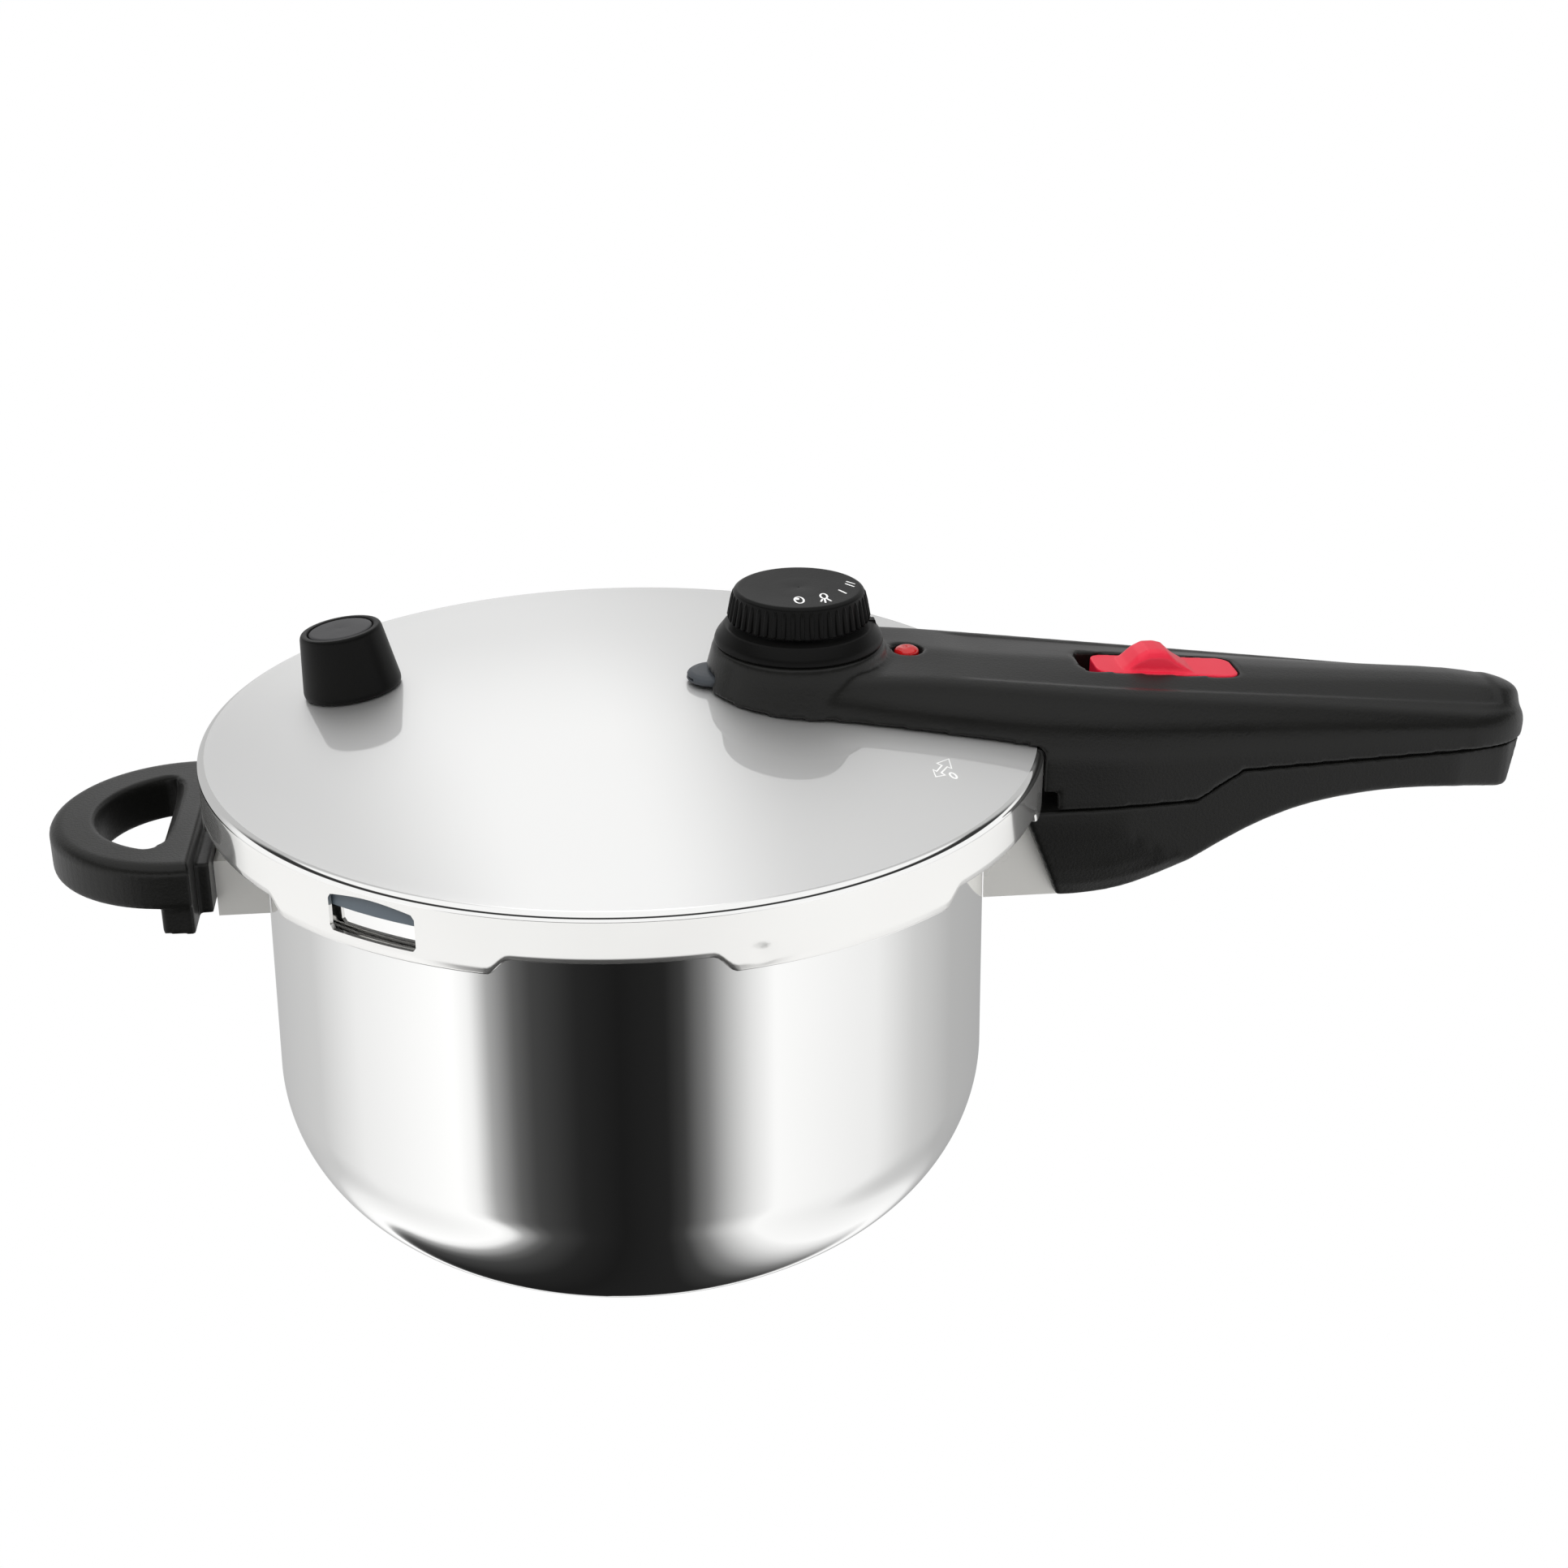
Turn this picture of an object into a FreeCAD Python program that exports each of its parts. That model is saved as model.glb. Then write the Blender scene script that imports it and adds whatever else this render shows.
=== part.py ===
import FreeCAD, Part
import math
import os
import re
import Sketcher
from FreeCAD import Placement, Rotation, Vector

# Stovetop pressure cooker, 22 cm, with bayonet lid, selector knob, lock slider,
# pressure indicator, safety valve, long handle and helper handle.
# Frame: origin on the table under the pot's axis, +X along the long handle, +Z up, mm.

doc = FreeCAD.newDocument("pressure_cooker")
sheet = doc.addObject("Spreadsheet::Sheet", "dims")
scratch = doc.addObject("Spreadsheet::Sheet", "scratch")
names = []
worked = {}


def size(name, value, note=""):
    """One driving dimension: name, plain number and what it is."""
    names.append(name)
    row = len(names)
    sheet.set("A%d" % row, name)
    sheet.set("B%d" % row, str(value))
    sheet.set("C%d" % row, note)
    sheet.setAlias("B%d" % row, name)


def link(text):
    """The formula with each size name pointing into the sheet."""
    return re.sub(r"[a-z]\w*", lambda m: "dims." + m.group(0) if m.group(0) in names else m.group(0), str(text))


def number(text):
    """The present value of a formula of size names."""
    text = str(text)
    if text not in worked:
        scratch.set("A1", "=1.0 * (%s)" % link(text))
        scratch.recompute()
        worked[text] = float(scratch.get("A1"))
    return worked[text]


# ---- sizes -------------------------------------------------------------------------------------
# pot
size("pot_r", 110, "outer radius of the wall under the rim")
size("belly", 2, "how much wider the wall is above the bottom curve")
size("wall", 1.2, "sheet thickness of the pot")
size("corner_r", 49, "radius of the bottom curve, outside")
size("rim_z", 145.4, "top of the pot's rim")
size("rim_r", "=lug_r - 5.3", "outer radius of the rim between the lugs")
size("lip_z", 138.4, "lower edge of the turned-down rim")
size("lug_r", "=lid_r - lid_t - 1.7", "outer radius of the bayonet lugs")
size("lug_z", 137.2, "lower edge of the lugs")
size("lug_deg", 19.6, "width of a lug")
size("lug_turn", -4.4, "azimuth of the first lug's middle")
size("base_r", 79.3, "outer radius of the base cap")
size("floor_z", 7, "inner floor of the pot")
size("cap_t", 0.9, "thickness of the base cap")
size("base_gap", 0.2, "clearance round the base layers")
# lid
size("lid_r", 127.7, "outer radius of the lid's skirt")
size("lid_t", 1.2, "sheet thickness of the lid")
size("shoulder_r", 2.4, "outer radius of the lid's rounded shoulder")
size("shoulder_z", 154.9, "top of the shoulder")
size("dome_z", 168, "top of the dome")
size("skirt_z", 140.2, "lower edge of the skirt between the lobes")
size("lobe_z", 135.3, "lower edge of the lobes")
size("lobe_deg", 33, "width of a lobe")
size("lobe_turn", -4.8, "azimuth of the first lobe's middle")
size("tab_r", "=rim_r + 0.8", "inner radius of the tabs turned in under the lobes")
size("window_deg", 12.6, "width of the window in one lobe")
size("window_turn", -131, "azimuth where the window starts")
size("window_low", 139, "lower edge of the window")
size("window_high", 149.7, "upper edge of the window")
size("seat_gap", 0.3, "gap between a piece and the one it is seated on")
size("gasket_in", "=rim_r - 6", "inner radius of the sealing ring")
size("gasket_out", "=lid_r - lid_t - 0.5", "outer radius of the sealing ring")
size("lip_t", 2.2, "thickness of the sealing ring's lips")
# lid handle
size("knob_x", 53.3, "distance of the selector's axis from the pot's axis")
size("pin_x", 86.7, "distance of the pressure indicator from the pot's axis")
size("house_low_r", 30.4, "selector housing radius at its foot")
size("house_top_r", 26, "selector housing radius at its top")
size("house_z", 180, "top of the selector housing")
size("house_bore", 20.5, "hollow of the selector housing")
size("house_roof", 176, "underside of the housing's roof")
size("collar_top_r", 22.5, "top radius of the ring under the knob")
size("collar_z", 185.4, "top of the ring under the knob")
size("knob_low_r", 21.4, "knob radius at its lower edge")
size("knob_top_r", 20.3, "knob radius at its top")
size("knob_low", 186.8, "lower edge of the knob")
size("knob_high", 196.8, "top of the knob")
size("stem_r", 5, "radius of the knob's stem")
size("run_fit", 0.05, "radial clearance of a turning or sliding shaft")
size("tip_x", 284.6, "end of the long handle")
size("grip_run", "=(tip_x - lid_r) / 156.9", "stretch of the lower grip's outline with its length")
size("part_z", 133.4, "top of the lower handle beside the pot")
size("part_gap", 0.6, "gap between the two halves of the long handle")
size("part_r", "=lid_r + 47.3", "radius where the parting line starts to rise")
size("rise_r", "=part_r + 14", "radius where its steep part ends")
size("rise_z", 8.8, "height of the steep part")
size("rim_gap", 0.4, "clearance of the lid handle over the lid")
size("slot_a", "=lid_r + 12.3", "start of the lock slot")
size("slot_b", "=slot_a + 51.2", "end of the lock slot")
size("slot_w", 8.4, "half width of the lock slot")
size("slide_gap", 0.5, "clearance of the lock slider in its slot")
size("lock_travel", 5, "travel of the lock slider")
size("roof_z", 160, "ceiling of the hollow in the lid handle")
size("hollow_w", 11.5, "half width of that hollow")
size("hollow_a", "=lid_r + 6.2", "start of that hollow")
size("hollow_b", "=slot_b + 6.8", "end of that hollow")
size("plate_b", "=hollow_a + 38.6", "end of the handle's base plate")
size("nose_w", 2.5, "half width of the lock bar's nose")
size("nose_low", 136.2, "underside of the lock bar's nose")
size("nose_t", 2.2, "thickness of the lock bar's nose")
size("ear_x", "=lid_r + 1.5", "pot-side face of the keeper ear")
size("ear_t", 2, "thickness of the keeper ear")
size("ear_w", 6, "half width of the keeper ear")
size("ear_z", 139.8, "top of the keeper ear")
# lower handle and its bracket
size("bracket_w", 22, "half width of the long handle's bracket")
size("bracket_low", 100, "lower edge of the bracket")
size("bracket_top", 130.4, "top of the bracket")
size("bracket_t", 2, "sheet thickness of the brackets")
size("bracket_b", "=lid_r + 10.3", "end of the bracket's cheeks")
size("tongue_b", "=bracket_b + 22", "end of the bracket's tongue")
size("screw_x", "=bracket_b + 12", "distance of the long handle's screw from the pot's axis")
# helper handle
size("help_x", "=lid_r + 0.8", "distance of the helper handle's back face")
size("help_w", 39.8, "half width of the helper handle at its back")
size("help_tip", "=help_x + 45.5", "distance of the helper handle's outer end")
size("help_top", 132.4, "top of the helper handle")
size("help_t", 13.9, "thickness of the helper handle at the finger opening")
size("help_fall", 2, "how much lower its outer edge is")
size("tongue_z", 125, "top of the helper handle's bracket")
size("help_low", 110, "lower edge of the block at its back")
size("block_t", 11, "depth of that block")
size("grip_r", 27.5, "radius of the finger opening")
size("grip_x", "=help_x + 11", "pot side of the finger opening")
size("grip_w", 25.5, "half width of the finger opening at its pot side")
# safety valve
size("safe_r", 84.8, "distance of the safety valve from the pot's axis")
size("safe_deg", 166.7, "azimuth of the safety valve")
size("cap_low_r", 15.2, "safety cap radius at its foot")
size("cap_top_r", 12.3, "safety cap radius at its top")
size("cap_high", 19.8, "height of the safety cap")
doc.recompute()

size("pin_r", 3.8, "radius of the indicator's button")
size("pin_hole", 5, "radius of the hole round the button")
size("pin_lift", 4, "travel of the indicator")
size("valve_lift", 2.5, "travel of the working valve")
size("safe_lift", 2.5, "travel of the safety valve")
doc.recompute()

dome = "((lid_r - shoulder_r)^2 + (dome_z - shoulder_z)^2) / (2 * (dome_z - shoulder_z))"


def dome_at(radius):
    """Formula for the height of the lid's upper face at a radius."""
    return "(dome_z - %s + sqrt((%s)^2 - (%s)^2))" % (dome, dome, radius)


# ---- building helpers ----------------------------------------------------------------------------
def body(label):
    piece = doc.addObject("PartDesign::Body", label)
    piece.Label = label
    return piece


def plane(piece, role, offset=(0, 0, 0), axis=(0, 0, 1), angle="0"):
    """A sketch on one of the body's own planes, moved and turned in that plane's own frame."""
    base = [f for f in piece.Origin.OriginFeatures if f.Role == role][0]
    drawing = piece.newObject("Sketcher::SketchObject", piece.Label + "_sketch")
    drawing.AttachmentSupport = [(base, "")]
    drawing.MapMode = "FlatFace"
    values = [number(value) for value in offset]
    drawing.AttachmentOffset = Placement(Vector(*values), Rotation(Vector(*axis), number(angle)))
    for letter, value in zip("xyz", offset):
        if str(value) != "0":
            drawing.setExpression("AttachmentOffset.Base.%s" % letter, link(value))
    return drawing


def outline(drawing, points):
    """A closed outline; a point with a third and fourth entry starts an arc (radius, centre side)."""
    first = drawing.GeometryCount
    count = len(points)
    places = [Vector(number(p[0]), number(p[1]), 0) for p in points]
    ends = []
    for i, point in enumerate(points):
        start = places[i]
        stop = places[(i + 1) % count]
        if len(point) == 2:
            drawing.addGeometry(Part.LineSegment(start, stop), False)
            ends.append((1, 2))
            continue
        radius = number(point[2])
        chord = stop.sub(start)
        half = chord.Length / 2
        normal = Vector(-chord.y, chord.x, 0).normalize() * point[3]
        centre = (start + stop) * 0.5 + normal * math.sqrt(max(radius * radius - half * half, 0))
        low, high = (start, stop) if point[3] > 0 else (stop, start)
        angle_low = math.atan2(low.y - centre.y, low.x - centre.x)
        angle_high = math.atan2(high.y - centre.y, high.x - centre.x)
        while angle_high < angle_low:
            angle_high += 2 * math.pi
        circle = Part.Circle(centre, Vector(0, 0, 1), radius)
        arc = drawing.addGeometry(Part.ArcOfCircle(circle, angle_low, angle_high), False)
        rule = drawing.addConstraint(Sketcher.Constraint("Radius", arc, radius))
        drawing.setExpression("Constraints[%d]" % rule, link(point[2]))
        ends.append((1, 2) if point[3] > 0 else (2, 1))
    for i, point in enumerate(points):
        after = (i + 1) % count
        drawing.addConstraint(Sketcher.Constraint("Coincident", first + i, ends[i][1], first + after, ends[after][0]))
        for kind, value, place in (("DistanceX", point[0], places[i].x), ("DistanceY", point[1], places[i].y)):
            rule = drawing.addConstraint(Sketcher.Constraint(kind, -1, 1, first + i, ends[i][0], place))
            drawing.setExpression("Constraints[%d]" % rule, link(value))


def circle(drawing, x, y, radius):
    """A circle with its centre and radius bound to formulas."""
    values = [number(x), number(y), number(radius)]
    index = drawing.addGeometry(Part.Circle(Vector(values[0], values[1], 0), Vector(0, 0, 1), values[2]), False)
    for rule, value in (
        (Sketcher.Constraint("DistanceX", -1, 1, index, 3, values[0]), x),
        (Sketcher.Constraint("DistanceY", -1, 1, index, 3, values[1]), y),
        (Sketcher.Constraint("Radius", index, values[2]), radius),
    ):
        place = drawing.addConstraint(rule)
        drawing.setExpression("Constraints[%d]" % place, link(value))


def box_outline(drawing, x0, y0, x1, y1):
    outline(drawing, [(x0, y0), (x1, y0), (x1, y1), (x0, y1)])


def feature(piece, kind, drawing):
    made = piece.newObject("PartDesign::" + kind, piece.Label + "_" + kind)
    made.Profile = drawing
    return made


def pad(piece, drawing, length, both=False, back=False, kind="Pad"):
    made = feature(piece, kind, drawing)
    made.setExpression("Length", link(length))
    made.Midplane = both
    made.Reversed = back
    doc.recompute()
    return made


def pocket(piece, drawing, length, both=False, back=False):
    return pad(piece, drawing, length, both, back, "Pocket")


def turn(piece, drawing, degrees="360", kind="Revolution"):
    made = feature(piece, kind, drawing)
    made.ReferenceAxis = (drawing, ["V_Axis"])
    made.setExpression("Angle", link(degrees))
    doc.recompute()
    return made


def groove(piece, drawing, degrees="360"):
    return turn(piece, drawing, degrees, "Groove")


def around(piece, made, count):
    """Repeat a feature evenly round the body's Z axis."""
    pattern = piece.newObject("PartDesign::PolarPattern", piece.Label + "_pattern")
    pattern.Originals = [made]
    pattern.Axis = ([f for f in piece.Origin.OriginFeatures if f.Role == "Z_Axis"][0], [""])
    pattern.Angle = 360
    pattern.Occurrences = count
    piece.Tip = pattern
    doc.recompute()
    return pattern


def fillet(piece, pick, radius):
    """Round the edges that the test picks."""
    chosen = ["Edge%d" % (i + 1) for i, edge in enumerate(piece.Tip.Shape.Edges) if pick(edge)]
    rounding = piece.newObject("PartDesign::Fillet", piece.Label + "_fillet")
    rounding.Base = (piece.Tip if piece.Tip != rounding else made_before(piece, rounding), chosen)
    rounding.setExpression("Radius", link(radius))
    doc.recompute()
    return rounding


def made_before(piece, item):
    solids = [f for f in piece.Group if f.isDerivedFrom("PartDesign::Feature") and f != item]
    return solids[-1]


def at_height(z, slack=0.05):
    """Test for edges lying wholly at one height."""
    level = number(z)
    return lambda edge: abs(edge.BoundBox.ZMin - level) < slack and abs(edge.BoundBox.ZMax - level) < slack


def upright(edge):
    """Test for straight vertical edges."""
    box = edge.BoundBox
    return box.XLength < 0.01 and box.YLength < 0.01 and box.ZLength > 0.5


def rod(label, x, y, steps):
    """A turned piece on a vertical axis: steps are (radius, height) going up, closed on the axis."""
    piece = body(label)
    drawing = plane(piece, "XZ_Plane", (x, 0, "-(%s)" % y if str(y) != "0" else 0))
    points = [(0, steps[0][1])] + list(steps) + [(0, steps[-1][1])]
    outline(drawing, points)
    turn(piece, drawing)
    return piece


def bush(label, x, y, points):
    """A turned ring on a vertical axis from a closed outline of (radius, height)."""
    piece = body(label)
    drawing = plane(piece, "XZ_Plane", (x, 0, "-(%s)" % y if str(y) != "0" else 0))
    outline(drawing, points)
    turn(piece, drawing)
    return piece


# ---- pot -------------------------------------------------------------------------------------------
# Deep-drawn pot: flat floor, large bottom curve, nearly straight wall, flanged rim with six lugs.
pot = body("pot_shell")
shape = plane(pot, "XZ_Plane")
outline(shape, [
    (0, 0),
    ("pot_r + belly - corner_r", 0, "corner_r", 1),
    ("pot_r + belly", "corner_r"),
    ("pot_r", "rim_z"),
    (0, "rim_z"),
])
turn(pot, shape)
shape = plane(pot, "XZ_Plane")
outline(shape, [
    (0, "wall"),
    ("pot_r + belly - corner_r", "wall", "corner_r - wall", 1),
    ("pot_r + belly - wall", "corner_r"),
    ("pot_r - wall", "rim_z + wall"),
    (0, "rim_z + wall"),
])
groove(pot, shape)
shape = plane(pot, "XZ_Plane")
mid = "(pot_r + belly - corner_r + sqrt((corner_r - wall / 2)^2 - (corner_r - %s)^2))"
outline(shape, [
    (0, "floor_z - wall"),
    (mid % "floor_z + wall", "floor_z - wall"),
    (mid % "floor_z", "floor_z"),
    (0, "floor_z"),
])
turn(pot, shape)
shape = plane(pot, "XZ_Plane")
box_outline(shape, 0, -1, "base_r + base_gap", "floor_z - wall")
groove(pot, shape)
shape = plane(pot, "XZ_Plane")
outline(shape, [
    ("pot_r - wall", "rim_z - wall"),
    ("rim_r - wall", "rim_z - wall"),
    ("rim_r - wall", "lip_z"),
    ("rim_r", "lip_z"),
    ("rim_r", "rim_z - wall / 2"),
    ("rim_r - wall / 2", "rim_z"),
    ("pot_r - wall", "rim_z"),
])
turn(pot, shape)
shape = plane(pot, "XZ_Plane", (0, 0, 0), (0, 1, 0), "lug_turn - lug_deg / 2")
outline(shape, [
    ("rim_r - wall / 2", "rim_z - wall"),
    ("lug_r - wall", "rim_z - wall"),
    ("lug_r - wall", "lug_z"),
    ("lug_r", "lug_z"),
    ("lug_r", "rim_z - wall / 2"),
    ("lug_r - wall / 2", "rim_z"),
    ("rim_r - wall / 2", "rim_z"),
])
lug = turn(pot, shape, "lug_deg")
around(pot, lug, 6)

# Aluminium heat-spreading disc and the steel cap pressed over it.
core = body("base_core")
shape = plane(core, "XZ_Plane")
box_outline(shape, 0, "cap_t + base_gap / 4", "base_r - cap_t - base_gap", "floor_z - wall - base_gap / 4")
turn(core, shape)
cap = body("base_cap")
shape = plane(cap, "XZ_Plane")
outline(shape, [
    (0, 0),
    ("base_r - 1.2", 0),
    ("base_r", 1.2),
    ("base_r", "floor_z - wall - 0.5"),
    ("base_r - cap_t", "floor_z - wall - 0.5"),
    ("base_r - cap_t", "cap_t"),
    (0, "cap_t"),
])
turn(cap, shape)


# Cutting profile that follows the pot's wall, used where the brackets meet it.
def clear_of_wall(piece):
    drawing = plane(piece, "XZ_Plane")
    outline(drawing, [
        (0, "corner_r"),
        ("pot_r + belly + seat_gap", "corner_r"),
        ("pot_r + seat_gap", "rim_z"),
        (0, "rim_z"),
    ])
    groove(piece, drawing)


# Long handle's bracket: channel with a tongue into the handle and an ear that keeps the lock bar.
bracket = body("handle_bracket")
shape = plane(bracket, "YZ_Plane", (0, 0, "pot_r - 8"))
outline(shape, [
    ("-bracket_w", "bracket_low"),
    ("-bracket_w + bracket_t", "bracket_low"),
    ("-bracket_w + bracket_t", "bracket_top - bracket_t"),
    ("bracket_w - bracket_t", "bracket_top - bracket_t"),
    ("bracket_w - bracket_t", "bracket_low"),
    ("bracket_w", "bracket_low"),
    ("bracket_w", "bracket_top"),
    ("-bracket_w", "bracket_top"),
])
pad(bracket, shape, "bracket_b - pot_r + 8")
shape = plane(bracket, "XY_Plane", (0, 0, "bracket_top - bracket_t"))
box_outline(shape, "bracket_b - 2", "4.5 - bracket_w", "tongue_b", "bracket_w - 4.5")
pad(bracket, shape, "bracket_t")
shape = plane(bracket, "XY_Plane", (0, 0, "bracket_top - bracket_t"))
box_outline(shape, "ear_x", "-ear_w", "ear_x + ear_t", "ear_w")
pad(bracket, shape, "ear_z - bracket_top + bracket_t")
shape = plane(bracket, "XY_Plane", (0, 0, "bracket_top - bracket_t - 1"))
circle(shape, "screw_x", 0, 2.5)
pocket(bracket, shape, "bracket_t + 2", back=True)
shape = plane(bracket, "YZ_Plane", (0, 0, "ear_x - 1"))
box_outline(shape, "-nose_w - slide_gap", "nose_low - 0.4", "nose_w + slide_gap", "nose_low + nose_t + 0.4")
pocket(bracket, shape, "ear_t + 2", back=True)
clear_of_wall(bracket)

# Helper handle's bracket: the same channel, facing the other way.
bracket2 = body("helper_bracket")
shape = plane(bracket2, "YZ_Plane", (0, 0, "4.5 - help_x"))
outline(shape, [
    (-22, "help_low - 3"),
    ("bracket_t - 22", "help_low - 3"),
    ("bracket_t - 22", "tongue_z - bracket_t"),
    ("22 - bracket_t", "tongue_z - bracket_t"),
    ("22 - bracket_t", "help_low - 3"),
    (22, "help_low - 3"),
    (22, "tongue_z"),
    (-22, "tongue_z"),
])
pad(bracket2, shape, "help_x - 4.5 - pot_r + 8")
shape = plane(bracket2, "XY_Plane", (0, 0, "tongue_z - bracket_t"))
box_outline(shape, "-help_x - 8", -12, "6.5 - help_x", 12)
pad(bracket2, shape, "bracket_t")
shape = plane(bracket2, "XY_Plane", (0, 0, "tongue_z - bracket_t - 1"))
circle(shape, "-help_x - 4.5", 0, 2.2)
pocket(bracket2, shape, "bracket_t + 2", back=True)
clear_of_wall(bracket2)

# Helper handle: thick D-shaped loop with a block at its back.
helper = body("helper_handle")
shape = plane(helper, "XY_Plane", (0, 0, "help_top - help_t"))
loop_r = "((help_tip - help_x)^2 + help_w^2) / (2 * (help_tip - help_x))"
outline(shape, [
    ("-help_x", "-help_w"),
    ("-help_x", "help_w", loop_r, 1),
    ("-help_tip", 0, loop_r, 1),
])
pad(helper, shape, "help_t")
rim_edges = ["Edge%d" % (i + 1) for i, edge in enumerate(helper.Tip.Shape.Edges)
             if at_height("help_top")(edge) and edge.BoundBox.XLength > 20]
slope = helper.newObject("PartDesign::Chamfer", "helper_slope")
slope.Base = (made_before(helper, slope), rim_edges)
slope.ChamferType = "Two distances"
slope.setExpression("Size", link("help_fall"))
slope.Size2 = 3
doc.recompute()
shape = plane(helper, "XY_Plane", (0, 0, "help_low"))
outline(shape, [
    ("-help_x", "-help_w + 0.2"),
    ("-help_x", "help_w - 0.2"),
    ("-help_x - block_t + 1.5", "help_w - 1.2"),
    ("-help_x - block_t + 1.5", "-help_w + 1.2"),
])
pad(helper, shape, "help_top - help_fall - help_low - 2.2")
shape = plane(helper, "XY_Plane", (0, 0, "help_low + 2"))
box_outline(shape, "-help_x - 1", "-help_w + 9.8", "4.2 - help_x", "help_w - 9.8")
pad(helper, shape, "help_top - help_fall - help_low - 4.2")
shape = plane(helper, "XY_Plane", (0, 0, "help_low - 1"))
outline(shape, [
    ("-grip_x", "-grip_w"),
    ("-grip_x", "grip_w", "grip_r", 1),
    ("-grip_x - 24", 0, "grip_r", 1),
])
pocket(helper, shape, "help_top", back=True)
shape = plane(helper, "YZ_Plane", (0, 0, "-help_x - 9.6"))
box_outline(shape, "-12 - seat_gap", "tongue_z - bracket_t - seat_gap", "12 + seat_gap", "tongue_z + seat_gap")
pocket(helper, shape, 20, back=True)
shape = plane(helper, "XY_Plane", (0, 0, "help_low - 1"))
circle(shape, "-help_x - 4.5", 0, 3.6)
pocket(helper, shape, 4.5, back=True)
shape = plane(helper, "XY_Plane", (0, 0, "help_low - 1"))
circle(shape, "-help_x - 4.5", 0, 2.1)
pocket(helper, shape, 17, back=True)
rod("helper_screw", "-help_x - 4.5", 0, [
    (3.3, "help_low + 0.9"),
    (3.3, "help_low + 3.3"),
    (1.95, "help_low + 3.3"),
    (1.95, "help_low + 15.4"),
])

# Lower half of the long handle, fixed to the pot.
low = body("lower_handle")
shape = plane(low, "XZ_Plane")
outline(shape, [
    ("lid_r - 8.4", "part_z - 2.6"),
    ("lid_r + 4.1", 100.6),
    ("lid_r + 16", 100.4),
    ("lid_r + grip_run * 24.3", 102.6),
    ("lid_r + grip_run * 34.3", 107.2),
    ("lid_r + grip_run * 44.3", 113),
    ("lid_r + grip_run * 56.3", 119.6),
    ("lid_r + grip_run * 69.8", 125.6),
    ("lid_r + grip_run * 85.3", 129.5),
    ("lid_r + grip_run * 106.3", 131.2),
    ("lid_r + grip_run * 128.3", 130.4),
    ("tip_x - 8.5", 127.2),
    ("tip_x - 7", 127.6),
    ("tip_x - 3", 143),
    ("tip_x - 3", 160),
    ("lid_r - 8.4", 160),
])
pad(low, shape, 80, both=True)
for side in (1, -1):
    shape = plane(low, "XY_Plane", (0, 0, 60))
    rail = [
        (100, 33.8),
        (150, 32.6),
        (213, 26.8),
        (258, 22.6),
        ("tip_x - 9", 18),
        ("tip_x + 1", 9),
        ("tip_x + 1", 45),
        (100, 45),
    ]
    points = [(x, "%s" % (side * y)) for x, y in rail]
    outline(shape, points)
    pocket(low, shape, 120, back=True)
for side in (1, -1):
    shape = plane(low, "YZ_Plane", (0, 0, 100))
    keel = [(25.6, 95), (25.6, 101), (27, 103.5), (30.5, 113), (33.8, 131), (48, 131), (48, 95)]
    outline(shape, [("%s" % (side * y), z) for y, z in keel])
    pocket(low, shape, 200, back=True)
shape = plane(low, "XZ_Plane")
outline(shape, [
    (0, "part_z"),
    ("part_r", "part_z"),
    ("rise_r", "part_z + rise_z"),
    ("tip_x + 20", "part_z + rise_z"),
    ("tip_x + 20", 200),
    (0, 200),
])
groove(low, shape)
shape = plane(low, "YZ_Plane", (0, 0, "lid_r - 20"))
box_outline(shape, "-bracket_w - seat_gap", "bracket_low - seat_gap", "bracket_w + seat_gap", "bracket_top + seat_gap")
pocket(low, shape, "bracket_b - lid_r + 20 + seat_gap", back=True)
shape = plane(low, "YZ_Plane", (0, 0, "bracket_b - 1"))
box_outline(
    shape,
    "4.5 - bracket_w - seat_gap",
    "bracket_top - bracket_t - seat_gap",
    "bracket_w - 4.5 + seat_gap",
    "bracket_top + seat_gap",
)
pocket(low, shape, "tongue_b - bracket_b + 1 + seat_gap", back=True)
shape = plane(low, "XY_Plane", (0, 0, "bracket_top - 1"))
box_outline(shape, "ear_x - seat_gap", "-ear_w - seat_gap", "ear_x + ear_t + seat_gap", "ear_w + seat_gap")
pocket(low, shape, 20, back=True)
shape = plane(low, "XY_Plane", (0, 0, 80))
circle(shape, "screw_x", 0, 5)
pocket(low, shape, 30, back=True)
shape = plane(low, "XY_Plane", (0, 0, 80))
circle(shape, "screw_x", 0, 2.4)
pocket(low, shape, "bracket_top - 80 + 1.5", back=True)
rod("lower_handle_screw", "screw_x", 0, [
    (4.6, 107.2),
    (4.6, 109.7),
    (2.2, 109.7),
    (2.2, "bracket_top + 1"),
])

# ---- lid -------------------------------------------------------------------------------------------
# Pressed lid: shallow dome, rounded shoulder, skirt with six lobes whose edges turn in under the lugs.
lid = body("lid_shell")
shape = plane(lid, "XZ_Plane")
outline(shape, [
    (0, "dome_z - lid_t"),
    (0, "dome_z", dome, -1),
    ("lid_r - shoulder_r", "shoulder_z", "shoulder_r", -1),
    ("lid_r", "shoulder_z - shoulder_r"),
    ("lid_r", "lobe_z"),
    ("tab_r", "lobe_z"),
    ("tab_r", "lobe_z + lid_t"),
    ("lid_r - lid_t", "lobe_z + lid_t"),
    ("lid_r - lid_t", "shoulder_z - shoulder_r", "shoulder_r - lid_t", 1),
    ("lid_r - shoulder_r", "shoulder_z - lid_t", dome, 1),
])
turn(lid, shape)
shape = plane(lid, "XZ_Plane", (0, 0, 0), (0, 1, 0), "lobe_turn + lobe_deg / 2")
box_outline(shape, "tab_r - 2", "lobe_z - 2", "lid_r + 2", "skirt_z")
gap = groove(lid, shape, "60 - lobe_deg")
around(lid, gap, 6)
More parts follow.
